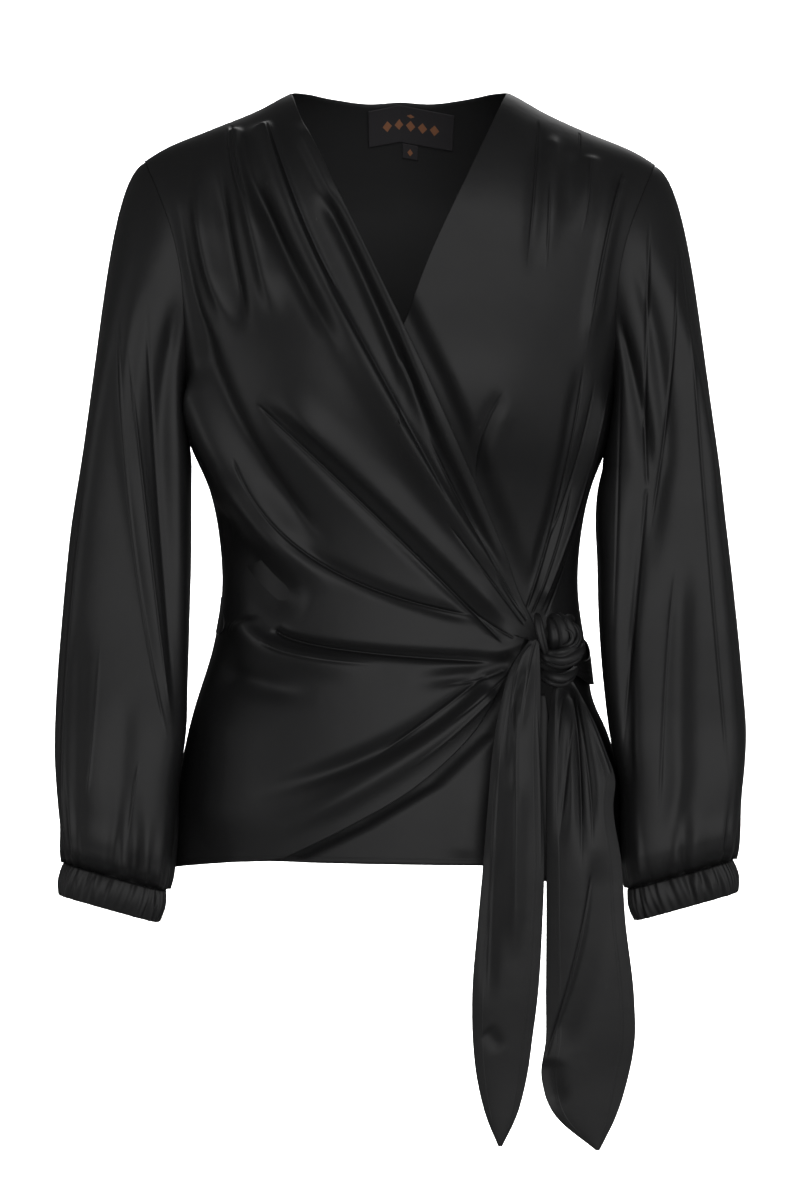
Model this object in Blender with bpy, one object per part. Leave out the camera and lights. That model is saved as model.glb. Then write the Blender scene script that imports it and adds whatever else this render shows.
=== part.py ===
"""A wrap blouse in soft satin, filled out as it is worn, with nobody in it.

The origin is midway between the shoulders, on the line of the shoulder seams. +X is the
wearer's left, -Y is the front and +Z is up. All sizes are in metres unless a table says mm.
"""

import bmesh
import bpy
import numpy as np

MM = 0.001
CLOTH = 1.4 * MM
TIE_CLOTH = 1.8 * MM
SEAM_GAP = 0.3 * MM
LAP = 7.0 * MM
SEAM_LAP = CLOTH + 1.0 * MM

SHOULDER_TOP = 19 * MM
SHOULDER_ROUND = 100 * MM
SQUARENESS = 0.86
BUST_AT = (72 * MM, -215 * MM)
BUST_RISE = 10 * MM
BUST_SPREAD = 45 * MM

# Torso sections, mm: level, half width, depth of the front, depth of the back.
TORSO = np.array([
    (-640, 183, 108, 108),
    (-583, 181, 108, 108),
    (-520, 173.5, 106, 104),
    (-460, 160.5, 100, 92),
    (-410, 145.5, 93, 78),
    (-370, 139, 90, 70),
    (-330, 140.5, 93, 70),
    (-290, 148, 101, 77),
    (-250, 163, 110, 84),
    (-200, 171, 115, 89),
    (-140, 186, 108, 92),
    (-80, 200, 98, 90),
    (-30, 214, 88, 84),
    (30, 228, 78, 78),
]) * MM

# Slope of the shoulder seam, mm: distance from the middle, height against the neck point.
RIDGE = np.array([
    (0, 18.5),
    (50, 8.5),
    (83, 2.6),
    (110, -11.2),
    (150, -27.5),
    (185, -42.5),
    (215, -62),
]) * MM

# Armhole: way down the cloth from the shoulder seam in mm, and quarter turns from the middle.
ARMHOLE = np.array([
    (0, 0.690),
    (50, 0.676),
    (90, 0.662),
    (125, 0.657),
    (160, 0.667),
    (200, 0.690),
    (238, 0.748),
    (266, 0.815),
    (290, 0.892),
    (306, 0.955),
    (318, 1.0),
])
UNDERARM = 318 * MM
HEM_DROP = 659 * MM

# Back neck: distance from the middle, way down the cloth, mm.
BACK_NECK = np.array([(0, 62), (30, 55), (50, 43), (70, 26), (80, 12), (84.5, 0)]) * MM

# Edge of the lapping front: share of the rows, then across and level in mm, front view.
LAP_EDGE = np.array([
    (0.00, -85, 18.7),
    (0.03, -77, -1),
    (0.09, -61, -34),
    (0.15, -34, -89),
    (0.21, -8, -144),
    (0.27, 23, -208),
    (0.32, 51, -272),
    (0.37, 76, -332),
    (0.42, 98, -389),
    (0.54, 93, -406),
    (0.66, 86, -424),
    (0.71, 76, -443),
    (0.77, 56, -476),
    (0.84, 14, -515),
    (0.92, -40, -547),
    (1.00, -91, -572),
])
# The same rows at the side: share of the rows, way down the cloth in mm.
LAP_SIDE = np.array([
    (0.00, 0),
    (0.12, 80),
    (0.27, 210),
    (0.42, 326),
    (0.54, 401),
    (0.66, 476),
    (0.84, 571),
    (1.00, 660),
])

# Edge of the under front: share of the rows, then across and level in mm, front view.
UNDER_EDGE = np.array([
    (0.00, 84, 19),
    (0.04, 71, -7),
    (0.10, 51, -50),
    (0.17, 24, -108),
    (0.24, 1, -166),
    (0.32, -33, -230),
    (0.40, -72, -305),
    (0.50, -134, -365),
])
UNDER_SIDE = np.array([(0, 0), (0.12, 90), (0.28, 230), (0.40, 318), (0.50, 406), (1, 656)])
UNDER_SEAM = np.array([(0.50, 441), (0.75, 546), (1, 647)])

# The left shoulder hangs a little lower, and the knot draws the left hip in.
LEFT_SHOULDER_DROP = 2.8 * MM
LEFT_HIP_AT = -455 * MM
LEFT_HIP_TAKEN = 8 * MM
LEFT_HIP_REACH = 32 * MM


def curve(table, at):
    """The columns of a table after its first, read smoothly at places of the first."""
    knots, values = table[:, 0], table[:, 1:]
    slopes = np.gradient(values, knots, axis=0)
    at = np.clip(np.asarray(at, float), knots[0], knots[-1])
    low = np.clip(np.searchsorted(knots, at) - 1, 0, len(knots) - 2)
    span = (knots[low + 1] - knots[low])[..., None]
    part = (at[..., None] - knots[low][..., None]) / span
    start = (1 + 2 * part) * (1 - part) ** 2 * values[low] + part * (1 - part) ** 2 * span * slopes[low]
    end = part**2 * (3 - 2 * part) * values[low + 1] - part**2 * (1 - part) * span * slopes[low + 1]
    return start + end


def smooth(share):
    share = np.clip(share, 0, 1)
    return share * share * (3 - 2 * share)


def ridge(x):
    """Height of the shoulder seam against the neck point."""
    return curve(RIDGE, np.abs(x))[..., 0] - LEFT_SHOULDER_DROP * smooth((x - 90 * MM) / (60 * MM))


def lean(level):
    """How much of the shoulder slope a level still has."""
    return smooth((level + 0.2) / (SHOULDER_TOP + 0.2))


def torso(side, across, drop):
    """The body of the blouse: side -1 front, 1 back; across in quarter turns; drop down the cloth."""
    turn = np.minimum(drop / SHOULDER_ROUND, np.pi / 2)
    level = SHOULDER_TOP - SHOULDER_ROUND * (1 - np.cos(turn)) - (drop - SHOULDER_ROUND * turn)
    width, front, back = np.moveaxis(curve(TORSO, level), -1, 0)
    depth = front if side < 0 else back
    angle = np.clip(across, -1, 1) * np.pi / 2
    taken = LEFT_HIP_TAKEN * np.exp(-(((level - LEFT_HIP_AT) / LEFT_HIP_REACH) ** 2))
    x = width * np.sin(angle) - taken * np.maximum(np.sin(angle), 0) ** 4
    y = side * (depth * np.cos(angle) ** SQUARENESS * np.sin(turn) + SEAM_GAP / 2)
    z = level + ridge(x) * lean(level)
    if side < 0:
        off = (np.abs(x) - BUST_AT[0]) ** 2 + (z - BUST_AT[1]) ** 2
        y = y - BUST_RISE * np.exp(-off / (2 * BUST_SPREAD**2))
    return np.stack([x, y, z], axis=-1)


def torso_normal(side, across, drop):
    """Outward normals of the body of the blouse."""
    step = 1e-4
    across = np.clip(across, -0.99, 0.99)
    drop = np.maximum(drop, 2 * MM)
    sideways = torso(side, across + step, drop) - torso(side, across - step, drop)
    down = torso(side, across, drop + step) - torso(side, across, drop - step)
    normal = side * np.cross(sideways, down)
    return normal / np.linalg.norm(normal, axis=-1, keepdims=True)


def on_front(x, z):
    """Across and drop of places given in the front view."""
    level = np.array(z, float)
    for _ in range(40):
        level = z - ridge(x) * lean(level)
    fall = SHOULDER_TOP - np.minimum(level, SHOULDER_TOP)
    width = curve(TORSO, SHOULDER_TOP - fall)[..., 0]
    rounded = SHOULDER_ROUND * np.arccos(np.clip(1 - fall / SHOULDER_ROUND, 0, 1))
    straight = SHOULDER_ROUND * np.pi / 2 + fall - SHOULDER_ROUND
    drop = np.where(fall < SHOULDER_ROUND, rounded, straight)
    return np.arcsin(np.clip(x / width, -1, 1)) / (np.pi / 2), drop


def armhole(drop):
    """How far across a panel reaches at a drop: the armhole, then the side seam."""
    table = ARMHOLE * (MM, 1)
    return np.where(drop < UNDERARM, curve(table, drop)[..., 0], 1.0)


def relief(folds, x, z):
    """Height of the folds of a table at places of the front view."""
    height = np.zeros(np.shape(x))
    share = np.linspace(0, 1, 41)
    for x0, z0, x1, z1, x2, z2, rise, left, right, fade_in, fade_out in folds:
        weights = np.stack([(1 - share) * (1 - 2 * share), 4 * share * (1 - share), share * (2 * share - 1)])
        line = (np.array([(x0, x1, x2), (z0, z1, z2)]) @ weights) * MM
        along = np.gradient(line, axis=1)
        off_x = x[..., None] - line[0]
        off_z = z[..., None] - line[1]
        nearest = np.argmin(off_x**2 + off_z**2, axis=-1)
        dx = np.take_along_axis(off_x, nearest[..., None], -1)[..., 0]
        dz = np.take_along_axis(off_z, nearest[..., None], -1)[..., 0]
        turned = along[0][nearest] * dz - along[1][nearest] * dx
        reach = np.where(turned > 0, left, right) * MM
        place = share[nearest]
        ends = smooth(place / max(fade_in, 0.02)) * smooth((1 - place) / max(fade_out, 0.02))
        height += rise * MM * ends * np.exp(-(dx**2 + dz**2) / reach**2)
    return height


# Folds, mm, front view: start, middle and end (across, level each), rise,
# reach on the left and right of the way along, share of the length that fades in and out.
RIGHT_FOLDS = [
    (-78, -4, 8, -178, 92, -374, 3, 9, 9, 0.05, 0.1),
    (-53, -74, -8, -170, 46, -291, -4.2, 9, 9, 0.2, 0.3),
    (-104, -4, -42, -163, 90, -380, 8, 17, 7, 0.06, 0.1),
    (-108, -20, -66, -132, 10, -268, -4.2, 8, 9, 0.1, 0.3),
    (-130, -8, -124, -40, -112, -80, 4.5, 9, 6, 0.1, 0.5),
    (-119, -44, -84, -100, -45, -170, -3.5, 9, 12, 0.2, 0.4),
    (-150, -40, -126, -118, -110, -176, -4.4, 10, 11, 0.15, 0.4),
    (-166, -42, -142, -122, -112, -190, 4.5, 9, 8, 0.2, 0.4),
    (-162, -130, -124, -240, -50, -340, -4.4, 13, 13, 0.2, 0.3),
    (-110, -222, -34, -298, 84, -409, -4.4, 7, 6, 0.15, 0.05),
    (-100, -216, -20, -288, 86, -396, 6, 12, 8, 0.25, 0.1),
    (-163, -178, -119, -292, -30, -372, 7.5, 12, 11, 0.15, 0.3),
    (-128, -264, -66, -342, 66, -391, -4.4, 9, 7, 0.15, 0.1),
    (-130, -296, -100, -358, -50, -388, -4, 13, 13, 0.3, 0.3),
    (-113, -390, -78, -414, 60, -418, 9.5, 10, 11, 0.06, 0.3),
    (-92, -394, -40, -405, 78, -407, -4.4, 6, 6, 0.15, 0.1),
    (-100, -432, -50, -438, 70, -428, -3.5, 10, 9, 0.3, 0.1),
    (82, -424, 20, -468, -70, -506, 5, 11, 13, 0.06, 0.4),
    (76, -440, 10, -500, -90, -552, 3, 8, 8, 0.1, 0.2),
    (-10, -478, -50, -508, -105, -528, -3.5, 13, 15, 0.3, 0.3),
]
LEFT_FOLDS = [
    (172, -48, 148, -137, 134, -230, 3, 7, 8, 0.15, 0.3),
    (107, -6, 103, -80, 99, -130, -2.5, 6, 6, 0.15, 0.5),
    (118, -14, 117, -70, 113, -122, 2.6, 6, 6, 0.1, 0.5),
    (148, -30, 145, -55, 139, -96, 2.2, 6, 6, 0.15, 0.5),
    (140, -185, 130, -263, 100, -374, -3.6, 7, 8, 0.3, 0.05),
    (152, -210, 139, -282, 112, -345, -2.5, 5, 6, 0.3, 0.3),
    (158, -204, 138, -290, 106, -376, 3.4, 7, 7, 0.2, 0.1),
    (80, -222, 64, -250, 53, -283, -2.2, 9, 8, 0.3, 0.3),
    (150, -440, 156, -505, 160, -560, 3, 10, 10, 0.3, 0.3),
    (112, -450, 108, -510, 104, -570, -3, 12, 12, 0.3, 0.2),
    (60, -500, 52, -540, 48, -575, 2, 12, 12, 0.4, 0.2),
]
BACK_FOLDS = [
    (-128, -352, -118, -300, -96, -236, 3.4, 10, 12, 0.2, 0.5),
    (-70, -356, -66, -306, -54, -250, -3, 11, 11, 0.2, 0.5),
    (-24, -354, -20, -310, -8, -262, 2.6, 10, 10, 0.2, 0.5),
    (34, -354, 36, -300, 30, -240, -2.8, 11, 11, 0.2, 0.5),
    (82, -352, 88, -296, 84, -226, 3.2, 11, 10, 0.2, 0.5),
    (-112, -428, -122, -500, -134, -575, -3.6, 12, 12, 0.2, 0.3),
    (-72, -430, -80, -505, -88, -575, 4, 12, 13, 0.2, 0.3),
    (-20, -430, -24, -500, -30, -570, -3, 13, 12, 0.2, 0.3),
    (30, -430, 34, -500, 36, -575, 3.6, 12, 13, 0.2, 0.3),
    (80, -430, 90, -500, 98, -570, -3.2, 12, 12, 0.2, 0.3),
    (122, -430, 134, -500, 146, -570, 3.4, 11, 11, 0.2, 0.3),
    (-120, -60, -108, -110, -84, -170, -2, 12, 12, 0.3, 0.6),
    (118, -60, 110, -120, 92, -180, -2, 12, 12, 0.3, 0.6),
]


# The lapping front rises to the knot.
KNOT_AT = (104 * MM, -404 * MM)
KNOT_LIFT = 8 * MM
KNOT_REACH = 30 * MM


def right_front(u, v):
    """The lapping front: u from the side to the wrap edge, v from the shoulder to the hem."""
    edge = curve(LAP_EDGE, v) * MM
    edge_across, edge_drop = on_front(edge[..., 0], edge[..., 1])
    side_drop = curve(LAP_SIDE, v)[..., 0] * MM
    side_across = -armhole(side_drop)
    across = side_across + (edge_across - side_across) * u
    drop = side_drop + (edge_drop - side_drop) * u
    base = torso(-1, across, drop)
    away = torso_normal(-1, across, drop)
    calm = smooth(u / 0.10) * smooth(drop / (14 * MM))
    off = (base[..., 0] - KNOT_AT[0]) ** 2 + (base[..., 2] - KNOT_AT[1]) ** 2
    height = relief(RIGHT_FOLDS, base[..., 0], base[..., 2]) * calm + KNOT_LIFT * np.exp(-off / KNOT_REACH**2)
    return base + away * height[..., None]


def lap_depth(across, x, z):
    """How far the under front sinks below the lapping one."""
    edge = LAP_EDGE[LAP_EDGE[:, 2] > -392]
    reach = np.interp(-z, -edge[:, 2] * MM, edge[:, 1] * MM)
    low = LAP_EDGE[LAP_EDGE[:, 2] < -385]
    reach = np.where(z < -0.39, np.interp(-z, -low[:, 2] * MM, low[:, 1] * MM), reach)
    under = smooth((reach + 22 * MM - x) / (16 * MM))
    near_seam = smooth((1 + across) / 0.08)
    return under * (SEAM_LAP + (LAP - SEAM_LAP) * near_seam)


def on_left(across, drop, lift):
    """Places of the under front, moved out by lift."""
    base = torso(-1, across, drop)
    away = torso_normal(-1, across, drop)
    sink = lap_depth(across, base[..., 0], base[..., 2])
    calm = smooth((armhole(drop) - across) / 0.09) * smooth(drop / (14 * MM)) * smooth(1 - sink / LAP)
    height = relief(LEFT_FOLDS, base[..., 0], base[..., 2]) * calm - sink + lift
    return base + away * height[..., None]


def left_front(u, v):
    """The under front: u from the wearer's left to the wrap edge and the right side seam."""
    edge = curve(UNDER_EDGE, v) * MM
    edge_across, edge_drop = on_front(edge[..., 0], edge[..., 1])
    low = smooth((v - 0.46) / 0.04)
    edge_across = edge_across * (1 - low) - low
    edge_drop = np.where(v > 0.5, curve(UNDER_SEAM, v)[..., 0] * MM, edge_drop)
    side_drop = curve(UNDER_SIDE, v)[..., 0] * MM
    side_across = armhole(side_drop)
    across = side_across + (edge_across - side_across) * u
    drop = side_drop + (edge_drop - side_drop) * u
    return on_left(across, drop, 0)


def on_back(across, drop, lift):
    """Places of the back, moved out by lift."""
    base = torso(1, across, drop)
    away = torso_normal(1, across, drop)
    calm = smooth((armhole(drop) - np.abs(across)) / 0.1)
    height = relief(BACK_FOLDS, base[..., 0], base[..., 2]) * calm + lift
    return base + away * height[..., None]


def back(u, v):
    """The back: u from the wearer's right to the left, v from the neck to the hem."""
    top_across = u * armhole(np.zeros(np.shape(u)))
    width = curve(TORSO, SHOULDER_TOP)[..., 0]
    x = np.abs(width * np.sin(top_across * np.pi / 2))
    top = np.where(x < BACK_NECK[-1, 0], curve(BACK_NECK, x)[..., 0], 0)
    drop = top + (HEM_DROP - top) * v
    return on_back(u * armhole(drop), drop, 0)


# Sleeve sections, mm: level, outer edge, inner edge, middle towards the front, half depth.
SLEEVE_RIGHT = np.array([
    (-272, 248, 162, -4.2, 60.6),
    (-296, 251, 162, -6.2, 60),
    (-343, 256, 162, -14, 59),
    (-390, 260, 163, -22, 58),
    (-437, 263, 164, -34, 58),
    (-476, 264, 165, -46, 57),
    (-513, 263.5, 171, -53, 55),
    (-543, 262, 173, -57, 50),
    (-567, 259.5, 176, -59, 42),
    (-579, 258, 178, -59, 33),
    (-586, 257, 180, -59, 28),
]) * MM
SLEEVE_LEFT = np.array([
    (-272, 248.5, 157.5, -4, 60),
    (-290, 250.5, 153.5, -5, 60),
    (-310, 252.5, 152, -8, 60),
    (-343, 256, 153, -13.5, 59),
    (-390, 260.5, 154, -23, 58),
    (-437, 264, 157, -36, 58),
    (-476, 266, 161.5, -48, 57),
    (-513, 264, 169.5, -55, 55),
    (-543, 260.5, 169.5, -59, 50),
    (-567, 257.5, 171, -61, 42),
    (-577, 256, 173, -61, 33),
    (-584, 254.5, 175, -61, 28),
]) * MM
WRIST_TILT = 0.28
HEAD_ROWS = 6
ARMHOLE_GAP = 0.65 * MM

# Sleeve folds: start and end in degrees from the outer line, start and end level in mm,
# rise in mm, reach in degrees.
SLEEVE_FOLDS_RIGHT = [
    (97, 148, -150, -470, -5, 17),
    (53, 120, -150, -440, 2.6, 9),
    (74, 130, -190, -450, 2.4, 8),
    (30, 34, -270, -540, 2.6, 15),
    (62, 64, -330, -560, -3, 15),
    (205, 215, -230, -520, -4, 16),
    (250, 232, -200, -520, 3.4, 18),
    (292, 280, -180, -540, -4, 18),
    (330, 318, -200, -560, 3, 16),
]
SLEEVE_FOLDS_LEFT = [
    (112, 100, -90, -290, -4, 12),
    (100, 152, -290, -500, -4.5, 13),
    (70, 106, -120, -340, -3.4, 12),
    (77, 112, -340, -560, -3.6, 13),
    (38, 46, -100, -540, 2.8, 13),
    (88, 124, -200, -460, 2.6, 9),
    (208, 216, -230, -520, -4, 16),
    (246, 236, -200, -520, 3.2, 18),
    (286, 276, -180, -540, -4, 18),
    (326, 316, -200, -560, 3, 16),
]
PUCKERS = 22
PUCKER_FROM = -520 * MM


def armhole_loop(hand, turn):
    """The armhole, turn in degrees: 0 shoulder, 90 front, 180 underarm, 270 back."""
    folded = np.where(turn <= 180, turn, 360 - turn) / 180
    walk = np.linspace(0, UNDERARM, 200)
    edge = torso(-1, armhole(walk), walk)
    steps = np.concatenate([[0], np.cumsum(np.linalg.norm(np.diff(edge, axis=0), axis=1))])
    drop = np.interp(folded * steps[-1], steps, walk)
    front = torso(-1, hand * armhole(drop), drop)
    rear = torso(1, hand * armhole(drop), drop)
    return np.where((turn <= 180)[..., None], front, rear)


def sleeve_ring(hand, table, level, turn):
    """One section of a sleeve below the underarm."""
    outer, inner, middle, depth = np.moveaxis(curve(table[::-1], level), -1, 0)
    angle = np.radians(turn)
    half = (outer - inner) / 2
    centre = (outer + inner) / 2
    reach = half * np.cos(angle)
    tilt = WRIST_TILT * smooth((-level - 0.45) / 0.13)
    return np.stack([hand * (centre + reach), middle - depth * np.sin(angle), level + tilt * reach], -1)


def sleeve(hand, table, folds, turn, along):
    """A sleeve: turn in degrees, along 0 at the armhole, 1 below the underarm, 2 at the wrist."""
    start = armhole_loop(hand, turn)
    ring_top = table[0, 0]
    end = sleeve_ring(hand, table, np.full(np.shape(turn), ring_top), turn)
    head = np.clip(along, 0, 1)[..., None]
    low = (1 - np.cos(np.radians(turn))) / 2
    start = start + np.stack([hand + 0 * low, 0 * low, -0.35 * (1 - low)], -1) * ARMHOLE_GAP
    front = np.sin(np.radians(turn))
    reach = np.linalg.norm(end - start, axis=-1)
    leave = np.stack([hand * (1 - 0.75 * low), -0.22 * front, -0.35 - 0.75 * low], -1)
    leave = leave / np.linalg.norm(leave, axis=-1, keepdims=True)
    first = start + leave * (0.11 * reach + 2 * MM)[..., None]
    second = end + np.stack([-hand * 0.06 * (1 - low) * reach, 0 * reach, 0.42 * reach], -1)
    cap = ((1 - head) ** 3 * start + 3 * head * (1 - head) ** 2 * first
           + 3 * head**2 * (1 - head) * second + head**3 * end)
    level = ring_top + (table[-1, 0] - ring_top) * np.clip(along - 1, 0, 1)
    tube = sleeve_ring(hand, table, level, turn)
    points = np.where(head < 1, cap, tube)
    outwards = np.stack([hand * np.cos(np.radians(turn)), -front, 0 * front], -1)
    height = np.zeros(np.shape(turn))
    for turn0, turn1, level0, level1, rise, spread in folds:
        part = (points[..., 2] - level0 * MM) / ((level1 - level0) * MM)
        off = (turn - (turn0 + (turn1 - turn0) * np.clip(part, 0, 1)) + 180) % 360 - 180
        ends = smooth(part / 0.25) * smooth((1 - part) / 0.25)
        height += rise * MM * ends * np.exp(-((off / spread) ** 2))
    calm = smooth(along / 0.35)
    pucker = smooth((PUCKER_FROM - points[..., 2]) / (50 * MM)) * (0.75 + 0.35 * np.sin(turn * 0.11 + 1))
    height = height * calm + pucker * 1.2 * MM * np.cos(np.radians(turn) * PUCKERS)
    return points + outwards * height[..., None]


CUFF_DEPTH = 25 * MM
CUFF_SLANT = 0.2
WRIST_GAP = 0.55 * MM
CUFF_WAVES = 26


def cuff(hand, table, turn, down):
    """A cuff drawn up on elastic, down 0 at the seam and 1 at the wrist opening."""
    top = sleeve_ring(hand, table, np.full(np.shape(turn), table[-1, 0]), turn)
    angle = np.radians(turn)
    slant = np.array([hand * CUFF_SLANT, 0, -1.0])
    slant = slant / np.linalg.norm(slant)
    outwards = np.stack([hand * np.cos(angle), -np.sin(angle), WRIST_TILT * np.cos(angle)], -1)
    bulge = (2.2 * np.sin(np.pi * down) - 0.5) * MM
    wave = np.cos(angle * CUFF_WAVES) * (0.8 + 0.3 * np.sin(turn * 0.09)) * MM
    channel = 1 - 0.45 * np.exp(-(((down - 0.5) / 0.12) ** 2))
    way = (WRIST_GAP + CUFF_DEPTH * down)[..., None]
    return top + slant * way + outwards * (bulge + wave * channel)[..., None]


# Ends of the ties, mm: level, left edge and right edge in the front view, y, how far the edges fall back.
TAIL_FRONT = np.array([
    (-404, 99.0, 105.6, -101.3, 0.5),
    (-422, 86.5, 106.5, -105.5, 2),
    (-455, 76.0, 107.0, -110, 4.5),
    (-486, 70.5, 107.0, -114, 6),
    (-536, 66.0, 108.6, -118, 6),
    (-573, 63.0, 109.5, -119, 5),
    (-617, 59.0, 108.2, -118, 4.5),
    (-677, 54.5, 104.4, -116, 4),
    (-707, 55.0, 100.6, -114, 3.5),
    (-738, 58.3, 96.1, -112, 2.5),
    (-768, 65.8, 87.8, -111, 1.5),
    (-789, 74.5, 77.5, -110, 0.5),
]) * MM
TAIL_SIDE = np.array([
    (-446.4, 116.0, 137.5, -90, 1.5),
    (-465, 113.0, 147.0, -102, 4),
    (-489, 111.6, 156.6, -111, 7),
    (-510, 111.2, 163.4, -116, 8),
    (-530, 111.0, 162.0, -118, 8),
    (-573, 110.8, 168.0, -119, 7),
    (-617, 110.8, 171.0, -118, 6),
    (-677, 110.5, 177.8, -115, 5),
    (-707, 110.5, 178.4, -113, 4.5),
    (-738, 107.5, 173.0, -111, 3.5),
    (-768, 119.5, 163.4, -110, 2),
    (-792, 148.5, 151.5, -109, 0.5),
]) * MM

# Folds of the ends, in the same columns as the folds of the body.
TAIL_FRONT_FOLDS = [
    (101, -420, 94, -448, 89, -486, 3, 4, 5, 0.3, 0.4),
    (97, -426, 84, -458, 78, -520, -3, 4, 5, 0.3, 0.4),
    (90, -505, 88, -575, 87, -650, 3.6, 6, 7, 0.2, 0.3),
    (74, -548, 68, -620, 68, -690, -2.6, 7, 6, 0.3, 0.3),
    (64, -700, 71, -708, 77, -717, -3, 7, 7, 0.2, 0.4),
]
TAIL_SIDE_FOLDS = [
    (132, -462, 128, -506, 121, -572, -6.5, 6, 5, 0.15, 0.45),
    (130, -454, 137, -500, 139, -582, -7, 4, 5, 0.2, 0.4),
    (137, -466, 145, -512, 146, -566, -5, 5, 5, 0.25, 0.4),
    (147, -560, 141, -640, 112, -720, -4, 15, 5, 0.2, 0.15),
    (114, -722, 115, -742, 124, -762, -3, 8, 8, 0.2, 0.3),
]


def tail(table, folds, across, level):
    """A hanging end: across 0 to 1 over its width, its folds in the front view."""
    left, right, forward, bow = np.moveaxis(curve(table[::-1], level), -1, 0)
    x = left + (right - left) * across
    y = forward + bow * (2 * across - 1) ** 2 - relief(folds, x, level)
    return np.stack([x, y, level], -1)


# The tie round the waist: degrees from the middle front by the wearer's left, drop, height, lift, mm.
WAIST_TIE = np.array([
    (59, 474, 13, 12.5),
    (70, 473, 16, 9),
    (82, 472, 21, 5),
    (92, 471, 26, 3.4),
    (120, 470, 32, 3.0),
    (180, 468, 36, 2.85),
    (240, 465, 32, 2.85),
    (267, 462, 28, 2.5),
])


def waist_tie(around, share):
    """The tie of the under front on its way round the back: around in degrees, share of its height."""
    drop, height, lift = np.moveaxis(curve(WAIST_TIE, around), -1, 0) * MM
    drop = drop + height * (share - 0.5)
    lift = lift + 1.2 * MM * smooth(1 - np.abs(around - 64) / 26) * np.cos(3 * np.pi * share) ** 2
    rear = on_back(2 - around / 90, drop, lift)
    fore = on_left(np.minimum(around / 90, 1), drop, lift)
    return np.where((around > 90)[..., None], rear, fore)


# Label and size tab at the back neck, mm: middle across, width, start and end down the cloth.
LABEL = (8.4, 66, 63.6, 99.5)
SIZE_TAB = (8.2, 12, 100.2, 112)
LABEL_SEAT = CLOTH + 0.8 * MM
LABEL_CLOTH = 0.6 * MM


def tab(sizes, u, v, depth):
    """A woven tab on the inside of the back."""
    middle, width, start, end = np.array(sizes) * MM
    drop = start + (end - start) * v
    across = np.arcsin((middle + width * u) / 0.212) / (np.pi / 2)
    return on_back(across, drop, -depth)


# Thread loop at the right side seam, mm, front view: across, level, lift.
SIDE_LOOP = np.array([
    (0.00, -137.6, -383, 0.3),
    (0.30, -135.6, -387, 0.8),
    (0.60, -134.8, -393, 1.0),
    (0.85, -136.6, -398.5, 0.7),
    (1.00, -139.5, -401, 0.3),
])
THREAD = 0.55 * MM


def side_loop(turn, way):
    """The thread loop, a round cord that lies on the lapping front."""
    x, z, lift = np.moveaxis(curve(SIDE_LOOP, way), -1, 0) * MM
    across, drop = on_front(x, z)
    away = torso_normal(-1, across, drop)
    line = torso(-1, across, drop) + away * (lift + THREAD)[..., None]
    along = np.gradient(line, axis=0)
    along = along / np.linalg.norm(along, axis=-1, keepdims=True)
    aside = np.cross(along, away)
    angle = np.radians(turn)[..., None]
    return line + THREAD * (np.cos(angle) * aside + np.sin(angle) * away), line


# The knot, mm: level, middle across, middle y, half width, half depth.
KNOT_ROLL = np.array([
    (-384, 105.9, -82, 2.0, 4.0),
    (-389, 106.3, -84, 4.6, 10.0),
    (-398, 106.9, -87.5, 5.3, 11.5),
    (-408, 107.2, -87.5, 5.3, 11.5),
    (-416, 107.4, -87, 4.6, 9.5),
    (-420, 107.6, -85, 2.2, 4.0),
]) * MM
KNOT_BULB = np.array([
    (-385, 122.8, -78, 7.0, 10.0),
    (-389, 124.9, -79.5, 11.0, 15.5),
    (-398, 125.5, -79.5, 13.2, 19.7),
    (-406, 125.2, -79.5, 12.9, 19.4),
    (-412, 123.8, -80, 10.0, 14.0),
]) * MM
KNOT_WRAP = np.array([
    (-412.4, 123.4, -81, 9.5, 13.0),
    (-418, 123.1, -83, 12.0, 17.5),
    (-424, 122.9, -83, 12.3, 18.5),
    (-429.5, 122.6, -83, 10.8, 15.5),
    (-433, 122.4, -83, 11.8, 17.0),
    (-437, 122.0, -83, 11.0, 15.5),
    (-440, 121.6, -83, 9.0, 12.0),
    (-443.5, 121.2, -83, 10.0, 13.0),
    (-446, 120.6, -83, 7.0, 9.0),
]) * MM


def bunch(table, waves, depth, twist, turn, level):
    """A pass of the knot: rings with shallow creases that run round it at a slant."""
    x, y, half_width, half_depth = np.moveaxis(curve(table[::-1], level), -1, 0)
    angle = np.radians(turn)
    crease = 1 + depth * np.cos(waves * angle + twist * (level - table[0, 0]))
    aside = x + half_width * crease * np.cos(angle)
    forward = y - half_depth * crease * np.sin(angle)
    return np.stack([aside, forward, level], -1)


def grid_normals(points, around):
    """Unit normals of a grid of points, sign not settled."""
    if around:
        wrapped = np.concatenate([points[:, -1:], points, points[:, :1]], axis=1)
        sideways = (wrapped[:, 2:] - wrapped[:, :-2]) / 2
    else:
        sideways = np.gradient(points, axis=1)
    normal = np.cross(sideways, np.gradient(points, axis=0))
    return normal / np.maximum(np.linalg.norm(normal, axis=-1, keepdims=True), 1e-12)


def inside(points, outward, thickness, around=False):
    """The inner face of a wall whose outer face is given."""
    normal = grid_normals(points, around)
    normal = normal * np.sign((normal * outward).sum())
    return points - normal * thickness


def material(name, colour, roughness, sheen=0.0):
    made = bpy.data.materials.new(name)
    made.use_nodes = True
    shader = made.node_tree.nodes["Principled BSDF"]
    shader.inputs["Base Color"].default_value = (*colour, 1)
    shader.inputs["Roughness"].default_value = roughness
    shader.inputs["Sheen Weight"].default_value = sheen
    return made


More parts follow.
